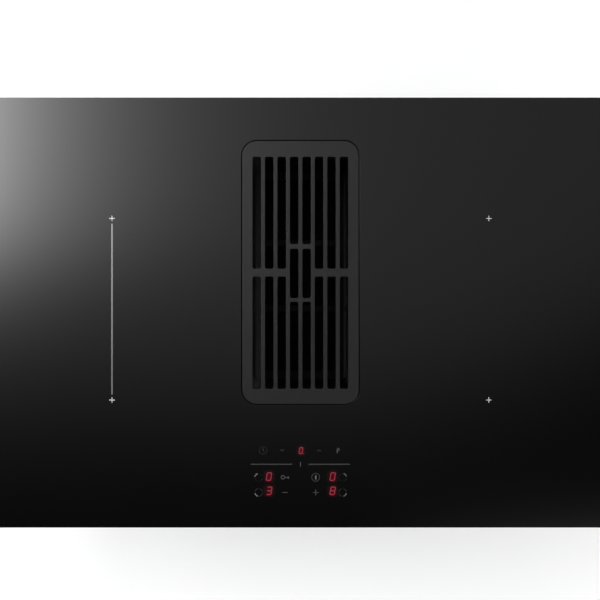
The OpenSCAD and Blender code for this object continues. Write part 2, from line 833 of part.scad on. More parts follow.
module base_pan() {
  color("#b3b7ba") difference() {
    translate([0, 0, z_pan]) difference() {
      slab(pan_w, pan_d, z_bead - z_pan, pan_r);
      translate([0, 0, pan_t]) slab(pan_w - 2 * pan_t, pan_d - 2 * pan_t, z_bead, pan_r - pan_t);
    }
    translate([0, grille_y, z_pan - 1])
      slab(throat_ow + 2 * throat_gap, throat_od + 2 * throat_gap, pan_t + 2, shaft_r + collar_wall + 1);
    pan_screw_holes(pan_screw_r);
    box_screw_holes(box_screw_r);
    // Air intake slots under the cooling fans
    both_sides() translate([0, fan_front, 0]) for (x = [-30:10:30])
      translate([x, 0, z_pan - 1]) block(4, 2 * sqrt(36 * 36 - x * x), pan_t + 2);
    // Warm air slots in the rear wall
    both_sides() for (x = [-80:20:80])
      translate([x, pan_d / 2, z_floor + 12]) block(12, 4, 5);
    // Cable holes to the terminal box and the driver box
    translate([term_x, term_y, z_pan - 1]) cylinder(r = 9, h = pan_t + 2);
    translate([driver_x, driver_y, z_pan - 1]) cylinder(r = 9, h = pan_t + 2);
    clamp_holes();
  }
}

module pan_screws() {
  color("silver") for (p = pan_screw_places())
    translate([p[0], p[1], z_pan_screw]) rotate([0, 0, p[2]]) rotate([0, 90, 0])
      screw(pan_screw_r, 7, 3.4, 2);
}

// ---------- power electronics ----------

module board_carrier(s) {
  color("#e4e2da") side(s) translate([0, board_y, z_carrier]) {
    difference() {
      block(carrier_w, carrier_l, carrier_t);
      for (x = [-50, 0, 50], y = [-80, 0, 80]) translate([x, y, -1]) block(30, 60, carrier_t + 2);
    }
    for (x = [-1, 1], y = [-1, 0, 1])
      translate([x * (carrier_w / 2 - 10), y * (carrier_l / 2 - 12), -carrier_foot])
        cylinder(r = post_r, h = carrier_foot + carrier_t + post_h);
  }
}

module board_carrier_left() { board_carrier(-1); }

module board_carrier_right() { board_carrier(1); }

module power_board(s) {
  color("#2d6a43") side(s) translate([0, board_y, z_board]) block(board_w, board_l, board_t);
}

module power_board_left() { power_board(-1); }

module power_board_right() { power_board(1); }

module heat_sinks() {
  color("#c8cbce") both_sides() translate([0, board_y + 12, z_board + board_t]) {
    block(sink_w, sink_l, sink_base);
    for (i = [0:fins - 1])
      translate([-sink_w / 2 + fin_t / 2 + i * (sink_w - fin_t) / (fins - 1), 0, sink_base - e])
        block(fin_t, sink_l, fin_h + e);
  }
}

module board_parts() {
  z0 = z_board + board_t;
  color("#3b4a7a") both_sides() translate([0, board_y, z0]) {
    for (y = [-70, -30, 30, 70]) translate([-55, y, 0]) block(24, 32, 20);
    for (y = [-60, 20]) translate([56, y, 0]) rotate_extrude() translate([11, 5]) circle(r = 5);
    for (y = [-100, 60, 90]) translate([56, y, 0]) cylinder(r = 9, h = 24);
  }
}

// ---------- coils ----------

module coil_plate(s) {
  color("#cdd0d3") side(s) difference() {
    translate([0, zone_mid_y, z_plate]) slab(plate_w, plate_l, plate_t, 6);
    for (y = zone_rows) translate([0, y, z_plate - 1]) cylinder(r = 18, h = plate_t + 2);
    for (y = zone_rows, a = [22.5:45:337.5]) translate([0, y, z_plate - 1]) rotate([0, 0, a])
      translate([60, 0, 0]) block(36, 10, plate_t + 2);
  }
}

module coil_plate_left() { coil_plate(-1); }

module coil_plate_right() { coil_plate(1); }

// One leaf spring in side view, foot at the origin, carrying the plate h above it
function leaf(h, t) = [
  [0, 0], [16, 0], [16, t], [3 + t, t], [20, h / 2], [3 + t, h - t],
  [16, h - t], [16, h], [0, h], [20 - t * 1.6, h / 2]
];

module plate_springs() {
  h = z_plate - z_floor;
  color("#9a9da1") both_sides() for (x = [-1, 1], y = [-1, 1])
    translate([x * (plate_w / 2 - 2 - spring_w / 2), zone_mid_y + y * (plate_l / 2 - 34), z_floor])
      rotate([90, 0, 90]) translate([-8, 0, -spring_w / 2]) linear_extrude(spring_w)
        polygon(leaf(h, spring_t));
}

module coil_seats(s) {
  side(s) for (y = zone_rows) translate([0, y, 0]) children();
}

module coil_former(square) {
  difference() {
    union() {
      if (square) slab(square_coil, square_coil, former_t, 40);
      else cylinder(r = round_coil / 2, h = former_t, $fn = 96);
      cylinder(r = eye_r - 1, h = former_t + winding_h);
    }
    translate([0, 0, -1]) cylinder(r = sensor_r + 0.5, h = former_t + winding_h + 2);
    for (a = [0:45:315]) rotate([0, 0, a]) translate([60, 0, -1]) block(40, 5, former_t + 2);
  }
}

module coil_formers() {
  color("#d9d4c6") translate([0, 0, z_former]) {
    coil_seats(-1) coil_former(true);
    coil_seats(1) coil_former(false);
  }
}

module ferrites() {
  color("#3d3f42") for (s = [-1, 1]) coil_seats(s) for (a = [22.5:45:337.5])
    rotate([0, 0, a]) translate([60, 0, z_ferrite]) block(56, 14, ferrite_h);
}

module square_winding() {
  translate([0, 0, z_winding]) for (i = [0:9]) {
    o = square_coil - 6 - i * 14;
    ring(o, o, max(41 - i * 3.4, 8), o - 12.4, o - 12.4, max(35 - i * 3.4, 3), winding_h);
  }
}

module round_winding() {
  turns = 10;
  pitch = (round_coil / 2 - 2 - eye_r) / turns;
  translate([0, 0, z_winding]) rotate_extrude($fn = 96) polygon(concat(
    [[eye_r, 0], [eye_r + turns * pitch, 0]],
    [for (i = [turns:-1:1]) each [[eye_r + i * pitch, winding_h * 0.7],
      [eye_r + (i - 0.5) * pitch, winding_h]]],
    [[eye_r, winding_h * 0.7]]
  ));
}

module coil_rear_left() { color("#b5652b") side(-1) translate([0, zone_rows[1], 0]) square_winding(); }

module coil_front_left() { color("#b5652b") side(-1) translate([0, zone_rows[0], 0]) square_winding(); }

module coil_rear_right() { color("#b5652b") side(1) translate([0, zone_rows[1], 0]) round_winding(); }

module coil_front_right() { color("#b5652b") side(1) translate([0, zone_rows[0], 0]) round_winding(); }

module mica_pads() {
  color("#c9b27c") {
    coil_seats(-1) translate([0, 0, z_glass - mica_t]) difference() {
      slab(square_coil - 4, square_coil - 4, mica_t, 40);
      translate([0, 0, -1]) cylinder(r = sensor_r + 1, h = mica_t + 2);
    }
    coil_seats(1) translate([0, 0, z_glass - mica_t])
      tube(round_coil / 2 - 1, sensor_r + 1, mica_t, $fn = 96);
  }
}

module coil_sensors() {
  color("#e9e6df") for (s = [-1, 1]) coil_seats(s)
    translate([0, 0, z_former]) cylinder(r = sensor_r, h = z_glass - z_former);
}

// ---------- cooling fans ----------

module fan_frames() {
  color("#1f2022") both_sides() translate([0, fan_front, z_floor]) {
    difference() {
      slab(fan_size, fan_size, fan_h, 4);
      translate([0, 0, -1]) cylinder(r = fan_wall_r, h = fan_h + 2, $fn = 96);
      for (x = [-1, 1], y = [-1, 1]) translate([x * 35.75, y * 35.75, -1]) cylinder(r = 2.2, h = fan_h + 2);
    }
    translate([0, 0, fan_h - 3]) cylinder(r = fan_hub_r + 1, h = 3);
    for (a = [45:90:315]) rotate([0, 0, a])
      translate([(fan_hub_r + fan_wall_r) / 2 + 1, 0, fan_h - 3]) block(fan_wall_r - fan_hub_r + 3, 4, 3);
    translate([0, 0, 6]) cylinder(r = pin_r, h = fan_h - 6);
  }
}

module fan_rotor(s) {
  hub_h = fan_h - 7;
  color("#101113") side(s) translate([0, fan_front, z_floor + 3]) {
    difference() {
      union() {
        cylinder(r = fan_hub_r, h = hub_h);
        for (i = [0:fan_blades - 1]) rotate([0, 0, i * 360 / fan_blades])
          translate([(fan_hub_r + fan_blade_r) / 2 - 1.5, 0, hub_h / 2]) rotate([35, 0, 0])
            translate([-(fan_blade_r - fan_hub_r + 2) / 2, -10, -0.8])
              cube([fan_blade_r - fan_hub_r + 1, 20, 1.6]);
      }
      translate([0, 0, 2]) cylinder(r = pin_r + pin_play, h = hub_h);
    }
  }
}

module fan_rotor_left() { fan_rotor(-1); }

module fan_rotor_right() { fan_rotor(1); }

// ---------- touch controls ----------

module control_tray() {
  wall = 2;
  z0 = z_touch - tray_floor;
  color("#18191b") translate([0, controls_y, z0]) {
    difference() {
      slab(controls_w, controls_d, tray_floor, 4);
      translate([0, 0, wall]) slab(controls_w - 2 * wall, controls_d - 2 * wall, tray_floor, 2);
    }
    for (x = [-1, 1], y = [-1, 1])
      translate([x * (controls_w / 2 - 12), y * (controls_d / 2 - 12), z_floor - z0])
        cylinder(r = 5, h = z0 - z_floor + wall);
  }
}

module touch_board() {
  color("#245a3a") {
    translate([0, controls_y, z_touch]) block(controls_w - 2, controls_d - 2, board_t);
    for (p = key_places) translate([p[0], p[1], z_touch + board_t - e])
      cylinder(r = key_r, h = z_glass - z_touch - board_t + e);
  }
}

module displays() {
  color("#3a0d0d") for (p = display_places)
    translate([p[0], p[1], z_touch + board_t]) block(10, 13.5, z_glass - z_touch - board_t);
}

// ---------- mains terminal ----------

module terminal_box() {
  z0 = z_pan - term_h;
  color("#2a2b2d") translate([term_x, term_y, z0]) {
    difference() {
      slab(term_w, term_d, term_h, 4);
      translate([0, 0, term_t]) slab(term_w - 2 * term_t, term_d - 2 * term_t, term_h, 2);
      translate([0, term_d / 2 + 6, term_h / 2]) rotate([90, 0, 0]) cylinder(r = gland_body_r, h = 12);
    }
    for (s = [-1, 1]) translate([s * (term_w / 2 - 8), 0, term_t - e])
      cylinder(r = 4, h = term_h - term_t + e);
  }
}

module terminal_block() {
  ways = 5;
  pitch = 11;
  color("#e8e6e0") translate([term_x, term_y - 12, z_pan - term_h + term_t]) difference() {
    block(ways * pitch + 6, 24, 20);
    for (i = [0:ways - 1]) translate([(i - (ways - 1) / 2) * pitch, 0, 0]) {
      translate([0, 0, 8]) cylinder(r = 3.2, h = 20);
      translate([0, -20, 10]) rotate([-90, 0, 0]) cylinder(r = 2.6, h = 40);
    }
  }
}

module cable_gland() {
  y_wall = term_y + term_d / 2;
  color("#222325") translate([term_x, 0, z_gland]) difference() {
    union() {
      translate([0, y_wall - 9, 0]) rotate([-90, 0, 0]) cylinder(r = gland_body_r, h = 14);
      translate([0, y_wall - term_t - 4, 0]) rotate([-90, 0, 0]) cylinder(r = gland_hex_r, h = 4, $fn = 6);
      translate([0, y_wall, 0]) rotate([-90, 0, 0]) cylinder(r = gland_hex_r, h = 5, $fn = 6);
      translate([0, y_wall + 4.9, 0]) rotate([-90, 0, 0])
        cylinder(r = gland_hex_r - 1.2, h = gland_end - y_wall - 6.9);
      translate([0, gland_end - 2.01, 0]) rotate([-90, 0, 0])
        cylinder(r1 = gland_hex_r - 1.2, r2 = gland_hex_r - 3.2, h = 2.01);
    }
    translate([0, y_wall - 20, 0]) rotate([-90, 0, 0]) cylinder(r = gland_r, h = 60);
  }
}

// ---------- worktop clamps ----------

module clamp_places() {
  for (s = [-1, 1], y = [-1, 1])
    translate([s * pan_w / 2, y * clamp_y, z_clamp]) rotate([0, 0, s > 0 ? 0 : 180]) children();
}

module clamp_holes() {
  clamp_places() for (y = [-8, 8])
    translate([-4, y, clamp_h - 8]) rotate([0, 90, 0]) cylinder(r = pan_screw_r, h = 10);
}

module worktop_clamps() {
  color("#aeb1b5") clamp_places() difference() {
    union() {
      translate([0, -clamp_w / 2, 0]) cube([clamp_t, clamp_w, clamp_h]);
      translate([0, -clamp_w / 2, 0]) cube([clamp_reach, clamp_w, clamp_t]);
    }
    for (y = [-8, 8]) translate([-1, y, clamp_h - 8]) rotate([0, 90, 0]) cylinder(r = pan_screw_r, h = 4);
    translate([clamp_reach / 2 + 1, 0, -1]) cylinder(r = clamp_screw_r, h = clamp_t + 2);
  }
}

module clamp_screws() {
  color("silver") clamp_places() {
    for (y = [-8, 8]) translate([clamp_t, y, clamp_h - 8]) rotate([0, 90, 0])
      screw(pan_screw_r, clamp_t + pan_t + 3, 3.4, 2);
    translate([clamp_reach / 2 + 1, 0, 0]) mirror([0, 0, 1]) screw(clamp_screw_r, 24, 4.6, 3);
  }
}

glass_top();
glass_seal();
bond_bead();
glass_frame();
grille();
grille_pads();
inlet_collar();
collar_gasket();
filter_frame();
filter_mesh();
drip_tray();
suction_box();
suction_cover();
box_gasket();
housing_screws();
scroll_housing();
scroll_lid();
inlet_ring();
impeller();
motor_rotor();
motor_shaft();
motor_stator();
motor_windings();
motor_bearings();
motor_plate();
motor_grommets();
outlet_spigot();
outlet_gasket();
driver_box();
driver_board();
base_pan();
pan_screws();
board_carrier_left();
board_carrier_right();
power_board_left();
power_board_right();
heat_sinks();
board_parts();
coil_plate_left();
coil_plate_right();
plate_springs();
coil_formers();
ferrites();
coil_rear_left();
coil_front_left();
coil_rear_right();
coil_front_right();
mica_pads();
coil_sensors();
fan_frames();
fan_rotor_left();
fan_rotor_right();
control_tray();
touch_board();
displays();
terminal_box();
terminal_block();
cable_gland();
worktop_clamps();
clamp_screws();
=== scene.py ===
# %% [markdown]
# # An induction hob with an extractor in the middle
#
# This lesson dresses a finished CAD model. The frame brings every solid in at its real size and place;
# the cells below add the looks: a polished glass plate, a cast grille, printed symbols, lit digits, and a
# finish for each hidden part. Nothing that the frame brings in is moved.

# %% Load the frame
import json
import math

import bmesh
import bpy
from mathutils import Matrix, Vector


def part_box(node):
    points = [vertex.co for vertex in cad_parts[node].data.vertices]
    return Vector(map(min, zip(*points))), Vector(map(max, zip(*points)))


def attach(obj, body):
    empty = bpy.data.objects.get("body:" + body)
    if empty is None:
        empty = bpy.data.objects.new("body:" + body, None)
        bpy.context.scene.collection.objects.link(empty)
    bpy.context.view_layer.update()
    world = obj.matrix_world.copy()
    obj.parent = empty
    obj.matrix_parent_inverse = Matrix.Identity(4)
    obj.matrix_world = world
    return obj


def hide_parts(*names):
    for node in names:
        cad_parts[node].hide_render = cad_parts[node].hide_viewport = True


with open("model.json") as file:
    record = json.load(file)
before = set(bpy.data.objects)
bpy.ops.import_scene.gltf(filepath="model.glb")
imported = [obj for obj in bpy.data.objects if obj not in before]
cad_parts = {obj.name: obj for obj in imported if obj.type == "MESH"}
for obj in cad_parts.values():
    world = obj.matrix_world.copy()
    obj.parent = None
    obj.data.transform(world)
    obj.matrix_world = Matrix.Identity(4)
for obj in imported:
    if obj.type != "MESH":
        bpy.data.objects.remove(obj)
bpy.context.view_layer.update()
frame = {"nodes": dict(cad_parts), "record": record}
nodes = frame["nodes"]

# %% [markdown]
# ## The camera
#
# The hob is seen from straight above. A camera that looks down its own -Z needs no turning, so only its
# height and its lens have to be chosen. Height and lens together set how much of the glass fits in the
# view, and the height alone sets how much of the deep slots' walls shows, so the height is chosen first.

# %% Camera
MM = 0.001
glass_low, glass_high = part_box("glass_top")
glass_face = glass_high.z
camera_rise = 0.98
view_width = 725.1 * MM
view_centre = Vector((-0.5 * MM, 15.2 * MM))
camera_data = bpy.data.cameras.new("camera")
camera_data.sensor_width = 36.0
camera_data.lens = camera_data.sensor_width * camera_rise / view_width
camera = bpy.data.objects.new("camera", camera_data)
camera.location = (view_centre.x, view_centre.y, glass_face + camera_rise)
bpy.context.scene.collection.objects.link(camera)
bpy.context.scene.camera = camera
bpy.context.scene.view_settings.view_transform = "Standard"
print("lens:", round(camera_data.lens, 1), "mm at", camera_rise, "m above the glass")

# %% [markdown]
# ## Shader maths in plain Python
#
# A finish is a node tree, and its maths reads best as expressions. One small class wraps a socket and
# turns `1 - mask` into Math nodes; another wraps a material, and makes every other node through one
# method.

# %% Sockets that calculate
class Wire:
    """One output of a shader node."""

    def __init__(self, finish, socket):
        self.finish, self.socket = finish, socket

    def maths(self, operation, *values):
        return self.finish.node("ShaderNodeMath", {"operation": operation}, dict(enumerate(values)))

    def __add__(self, other):
        return self.maths("ADD", self, other)

    def __mul__(self, other):
        return self.maths("MULTIPLY", self, other)

    def __sub__(self, other):
        return self.maths("SUBTRACT", self, other)

    def __rsub__(self, other):
        return self.maths("SUBTRACT", other, self)

    def __truediv__(self, other):
        return self.maths("DIVIDE", self, other)

    def __rtruediv__(self, other):
        return self.maths("DIVIDE", other, self)

    __radd__ = __add__
    __rmul__ = __mul__

    def clamp(self):
        return self.finish.node("ShaderNodeClamp", {}, {"Value": self})

    def at_least(self, low):
        return self.maths("MAXIMUM", self, low)

    def exp(self):
        return self.maths("EXPONENT", self)

    def swing(self, low, high):
        """Spreads a 0 to 1 value between two limits."""
        return self * (high - low) + low

    def bell(self):
        """1 where the value is 0, falling away like a bell on both sides."""
        return (self * self * -1.0).exp()

    def step(self, edge, width):
        """A soft step from 0 to 1 around an edge."""
        return 1.0 / (((self - edge) * (-1.0 / width)).exp() + 1.0)


# %% Finishes
class Finish:
    """A material with one Principled shader; sizes in its patterns are metres."""

    def __init__(self, name, **constants):
        self.material = bpy.data.materials.new(name)
        self.material.use_nodes = True
        self.tree = self.material.node_tree
        self.shader = self.tree.nodes["Principled BSDF"]
        for socket, value in constants.items():
            self.shader.inputs[socket.replace("_", " ")].default_value = value

    def node(self, kind, settings, inputs, output=0):
        """Any node: its settings first, then values or links for its sockets."""
        made = self.tree.nodes.new(kind)
        for key, value in settings.items():
            setattr(made, key, value)
        for key, value in inputs.items():
            if isinstance(value, Wire):
                self.tree.links.new(value.socket, made.inputs[key])
            else:
                made.inputs[key].default_value = value
        return Wire(self, made.outputs[output])

    def place(self, size=1.0, centre=(0, 0, 0), turn=(0, 0, 0), stretch=(1, 1, 1)):
        """Object coordinates around a centre, where 1 is one pattern size."""
        spot = self.node("ShaderNodeTexCoord", {}, {}, "Object")
        sizes = tuple(size * s for s in stretch)
        return self.node("ShaderNodeMapping", {"vector_type": "TEXTURE"},
                         {"Vector": spot, "Location": centre, "Rotation": turn, "Scale": sizes})

    def axis(self, letter, **place):
        return self.node("ShaderNodeSeparateXYZ", {}, {"Vector": self.place(**place)}, letter)

    def noise(self, size, detail=3.0, **place):
        return self.node("ShaderNodeTexNoise", {},
                         {"Vector": self.place(size, **place), "Scale": 1.0, "Detail": detail}, "Fac")

    def cells(self, size, output="Color", **place):
        return self.node("ShaderNodeTexVoronoi", {},
                         {"Vector": self.place(size, **place), "Scale": 1.0}, output)

    def grey(self, colour):
        return self.node("ShaderNodeSeparateColor", {}, {"Color": colour}, "Red")

    def blend(self, amount, first, second):
        """Mixes two colours; each is a Wire or three numbers."""
        def rgba(colour):
            return colour if isinstance(colour, Wire) else (*colour, 1.0)
        return self.node("ShaderNodeMix", {"data_type": "RGBA"},
                         {"Factor": amount, 6: rgba(first), 7: rgba(second)}, 2)

    def feed(self, socket, wire):
        self.tree.links.new(wire.socket, self.shader.inputs[socket])
        return self

    def emboss(self, height, depth):
        """Bumps the surface by a 0 to 1 height of a depth in metres."""
        bump = self.node("ShaderNodeBump", {}, {"Height": height, "Distance": depth, "Strength": 1.0})
        return self.feed("Normal", bump)

    def vanish(self, mask):
        """Makes the surface clear where a mask is 1."""
        clear = self.node("ShaderNodeBsdfTransparent", {}, {})
        solid = Wire(self, self.shader.outputs[0])
        either = self.node("ShaderNodeMixShader", {}, {0: mask, 1: solid, 2: clear})
        self.tree.links.new(either.socket, self.tree.nodes["Material Output"].inputs["Surface"])


def dye(colour, factor):
    return tuple(min(1.0, channel * factor) for channel in colour)


# %% [markdown]
# ## Families of finishes
#
# Most hidden parts share a few kinds of surface: moulded plastic, sheet metal, rubber, wire. Each family
# is one function with a colour and a grain, and every part gets its own member. Real surfaces are never
# one flat colour, so each family lets a slow noise shift the colour and a fine one roughen the surface.

# %% Moulded plastic, rubber and foam
def moulded(name, colour, rough=0.5, grain=0.7 * MM, depth=0.03 * MM, spread=0.12, **constants):
    finish = Finish(name, **constants)
    cloud = finish.noise(45 * MM)
    fine = finish.noise(grain, detail=2.0)
    finish.feed("Base Color", finish.blend(cloud, dye(colour, 1 - spread), dye(colour, 1 + spread)))
    finish.feed("Roughness", fine.swing(rough - 0.08, rough + 0.08))
    return finish.emboss(fine, depth).material


def foam(name, colour):
    finish = Finish(name)
    pores = finish.cells(0.8 * MM, "Distance")
    finish.feed("Base Color", finish.blend(pores, dye(colour, 0.5), dye(colour, 1.4)))
    finish.feed("Roughness", pores.swing(0.85, 0.98))
    return finish.emboss(pores, 0.15 * MM).material


# %% Metals
def zinc_sheet(name, colour, rough=0.46, crystal=5 * MM):
    """Hot-dip galvanised steel: flat crystals, each with its own shade."""
    finish = Finish(name, Metallic=1.0)
    shade = finish.grey(finish.cells(crystal))
    small = finish.grey(finish.cells(crystal * 0.45))
    fine = finish.noise(0.9 * MM)
    crystals = shade * 0.65 + small * 0.35
    finish.feed("Base Color", finish.blend(crystals, dye(colour, 0.84), dye(colour, 1.12)))
    finish.feed("Roughness", crystals.swing(rough - 0.08, rough + 0.08) + fine * 0.05)
    return finish.emboss(fine, 0.01 * MM).material


def drawn_metal(name, colour, rough=0.35, along=(60, 1, 1), line=0.25 * MM, depth=0.01 * MM):
    """Rolled, drawn or turned metal with fine lines along one way."""
    finish = Finish(name, Metallic=1.0)
    lines = finish.noise(line, detail=4.0, stretch=along)
    cloud = finish.noise(30 * MM)
    finish.feed("Base Color", finish.blend(lines * 0.7 + cloud * 0.3, dye(colour, 0.85), dye(colour, 1.08)))
    finish.feed("Roughness", lines.swing(rough - 0.08, rough + 0.1))
    return finish.emboss(lines, depth).material


def powder_coat(name, colour, rough=0.62, speck=0.5 * MM, depth=0.04 * MM):
    """Enamel or powder over metal: an even skin with a fine orange peel."""
    finish = Finish(name)
    peel = finish.noise(speck, detail=3.0)
    cloud = finish.noise(28 * MM)
    finish.feed("Base Color", finish.blend(cloud * 0.6 + peel * 0.4, dye(colour, 0.86), dye(colour, 1.14)))
    finish.feed("Roughness", peel.swing(rough - 0.06, rough + 0.08))
    return finish.emboss(peel, depth).material


# %% Special finishes of the electrics
def circuit_board(name, colour):
    """Solder mask over copper tracks: a brick pattern stands in for the tracks."""
    finish = Finish(name)
    tracks = finish.node("ShaderNodeTexBrick", {"offset": 0.37},
                         {"Vector": finish.place(4 * MM), "Scale": 1.0, "Mortar Size": 0.06,
                          "Mortar Smooth": 0.1}, "Fac")
    pads = 1.0 - finish.cells(5 * MM, "Distance").step(0.16, 0.02)
    finish.feed("Base Color", finish.blend(pads, finish.blend(tracks, colour, dye(colour, 1.9)),
                                           (0.62, 0.6, 0.52)))
    finish.feed("Roughness", (tracks * 0.1 + 0.3) + pads * 0.1)
    return finish.emboss(tracks + pads, 0.05 * MM).material


def litz_wire(name, colour):
    """Bundled copper strands, twisted: two noises crossed at an angle."""
    finish = Finish(name, Metallic=0.85)
    strands = finish.noise(0.5 * MM, turn=(0, 0, 0.6), stretch=(6, 1, 1))
    twist = finish.noise(0.9 * MM, turn=(0, 0, -0.7), stretch=(5, 1, 1))
    finish.feed("Base Color", finish.blend(strands, dye(colour, 0.55), dye(colour, 1.15)))
    finish.feed("Roughness", twist.swing(0.28, 0.5))
    return finish.emboss(strands + twist, 0.12 * MM).material


def pressed_mica(name, colour):
    finish = Finish(name)
    flakes = finish.grey(finish.cells(3.5 * MM))
    cloud = finish.noise(12 * MM)
    finish.feed("Base Color", finish.blend(flakes * 0.6 + cloud * 0.4, dye(colour, 0.6), dye(colour, 1.3)))
    finish.feed("Roughness", flakes.swing(0.3, 0.6))
    return finish.emboss(flakes, 0.03 * MM).material


# %% The finish of every slot that the frame's record names
finishes = {
    "foam_tape": foam("foam tape", (0.03, 0.03, 0.031)),
    "silicone": moulded("silicone", (0.022, 0.022, 0.023), 0.38, grain=3 * MM),
    "galvanised": zinc_sheet("galvanised steel", (0.4, 0.415, 0.43)),
    "pad_rubber": moulded("pad rubber", (0.018, 0.018, 0.018), 0.75, grain=0.4 * MM),
    "black_plastic": moulded("black moulding", (0.022, 0.022, 0.024), 0.48),
    "black_steel": powder_coat("black powder coat", (0.012, 0.012, 0.0125)),
    "screw_steel": drawn_metal("zinc screws", (0.7, 0.71, 0.73), 0.3, along=(1, 1, 6)),
    "grey_plastic": moulded("grey moulding", (0.075, 0.077, 0.08), 0.5),
    "motor_steel": drawn_metal("motor can", (0.5, 0.51, 0.53), 0.32, along=(1, 1, 30)),
    "shaft_steel": drawn_metal("ground steel", (0.74, 0.75, 0.77), 0.16, along=(30, 30, 1), line=0.1 * MM),
    "core_steel": drawn_metal("laminated core", (0.26, 0.27, 0.29), 0.45, along=(80, 80, 1), line=0.5 * MM,
                              depth=0.08 * MM),
    "copper": litz_wire("litz copper", (0.72, 0.34, 0.16)),
    "board_green": circuit_board("circuit board", (0.02, 0.12, 0.05)),
    "heat_sink": drawn_metal("extruded aluminium", (0.7, 0.71, 0.72), 0.36, along=(1, 80, 1)),
    "aluminium_sheet": drawn_metal("aluminium sheet", (0.76, 0.77, 0.78), 0.3, along=(90, 1, 1)),
    "capacitor_blue": moulded("capacitor case", (0.03, 0.08, 0.3), 0.22, grain=2 * MM, depth=0.01 * MM),
    "white_plastic": moulded("white moulding", (0.72, 0.7, 0.65), 0.42, spread=0.05),
    "ferrite": powder_coat("pressed ferrite", (0.05, 0.05, 0.054), 0.5, speck=0.3 * MM),
    "mica": pressed_mica("pressed mica", (0.5, 0.4, 0.22)),
    "sensor_ceramic": moulded("steatite", (0.8, 0.77, 0.71), 0.35, grain=0.3 * MM, spread=0.04),
    "spring_steel": drawn_metal("tempered strip", (0.4, 0.4, 0.43), 0.28, along=(1, 40, 40)),
    "fan_black": moulded("fan moulding", (0.016, 0.016, 0.017), 0.3, grain=1.5 * MM, depth=0.01 * MM),
    "display_red": moulded("display lens", (0.16, 0.008, 0.01), 0.2, grain=2 * MM, depth=0.005 * MM),
}
shaft_black = moulded("shaft moulding", (0.0025, 0.0025, 0.0026), 0.7, spread=0.2, Specular_IOR_Level=0.12)


# Where the painted light on the filter's long sides begins, left and right, and where the painted light
# towards the front starts and how far it runs.
left_wall, right_wall = 51 * MM, 60 * MM
painted_light_from, painted_light_length = 190 * MM, 280 * MM


def cassette(name, sides, ribs):
    """The filter's coat, with painted light: paler on the long sides and paler still to the front, where
    light falls on the walls through the slots, and painted shade on the ribs between.
    """
    finish = Finish(name, Specular_IOR_Level=0.2)
    speck = finish.noise(0.5 * MM)
    across = finish.axis("X")
    painted_light_mask = (across * -1.0).step(left_wall, 1.5 * MM) + across.step(right_wall, 0.5 * MM)
    front = finish.axis("Y", size=-painted_light_length, centre=(0, painted_light_from, 0)).clamp()
    painted_shade_ribs = finish.blend(speck, dye(ribs, 0.8), dye(ribs, 1.2))
    painted_light_sides = finish.blend(speck * 0.3 + front * 0.7, dye(sides, 0.75), dye(sides, 2.1))
    finish.feed("Base Color", finish.blend(painted_light_mask.clamp(), painted_shade_ribs, painted_light_sides))
    finish.feed("Roughness", speck.swing(0.5, 0.66))
    return finish.emboss(speck, 0.03 * MM).material


# Both coats carry painted light on the long sides and painted shade on the ribs of the floor.
cassette_coat = cassette("cassette coat", (0.09, 0.09, 0.092), (0.004, 0.004, 0.0041))
mesh_coat = cassette("mesh coat", (0.05, 0.05, 0.051), (0.002, 0.002, 0.0021))
print("families give", len(finishes), "finishes, and the shaft, cassette and mesh have their own")

# %% [markdown]
# ## Polished black glass
#
# The glass-ceramic is dark all through, so nearly all that the eye gets from it is reflection. The colour
# stays close to black, and the roughness moves a little, as wiped glass does. The surface has the
# faintest waviness, which only shows where a straight edge is mirrored.

# %% Glass finish
def wiped(finish):
    """The roughness of polished glass that has been wiped."""
    finish.feed("Roughness", finish.noise(60 * MM, detail=5.0).swing(0.02, 0.06))


glass = Finish("black glass-ceramic", IOR=1.5)
glass_dark, glass_pale = (0.0013, 0.0013, 0.00135), (0.0021, 0.0021, 0.0022)
glass.feed("Base Color", glass.blend(glass.noise(90 * MM), glass_dark, glass_pale))
wiped(glass)
glass.emboss(glass.noise(140 * MM, detail=1.0), 0.02 * MM)
finishes["black_glass"] = glass.material

# %% [markdown]
# ## Enamelled cast iron
#
# A casting is never sharp or smooth: sand leaves a fine grain under the matt enamel, and the skin is a
# shade lighter where it is thin. Two noises carry this, one for the grain and one for slow patches.

# %% Cast iron finish
casting = Finish("matt cast iron", Specular_IOR_Level=0.45)
sand = casting.noise(0.55 * MM, detail=4.0)
patch = casting.noise(16 * MM, detail=2.0)
skin_dark, skin_pale = (0.0045, 0.0046, 0.0048), (0.0085, 0.0086, 0.0088)
casting.feed("Base Color", casting.blend(sand * 0.45 + patch * 0.55, skin_dark, skin_pale))
casting.feed("Roughness", sand.swing(0.34, 0.48))
casting.emboss(sand, 0.07 * MM)
finishes["cast_iron"] = casting.material

# %% [markdown]
# ## Pieces made in mesh code
#
# Each new piece starts as a few faces and is shaped with bmesh operators. One helper turns the result
# into an object that rides on its body, and smooths its shading without touching the flat faces.

# %% Piece helper
def weigh_normals(made):
    """Keeps the flat faces' shading flat beside rounded edges."""
    made.modifiers.new("weighted", "WEIGHTED_NORMAL").weight = 100


def turned(degrees):
    """A turn around the upright axis."""
    return Matrix.Rotation(math.radians(degrees), 3, "Z")


def piece(name, bm, finish, body, stands_for=()):
    """Makes an object of a bmesh, in place, and parents it to its body."""
    bmesh.ops.recalc_face_normals(bm, faces=bm.faces[:])
    mesh = bpy.data.meshes.new(name)
    for face in bm.faces:
        face.smooth = True
    bm.to_mesh(mesh)
    bm.free()
    made = bpy.data.objects.new(name, mesh)
    bpy.context.scene.collection.objects.link(made)
    mesh.materials.append(finish)
    weigh_normals(made)
    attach(made, body)
    if stands_for:
        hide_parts(*stands_for)
    print(name, len(mesh.polygons), "faces")
    return made


def everything(bm):
    return bm.verts[:] + bm.edges[:] + bm.faces[:]


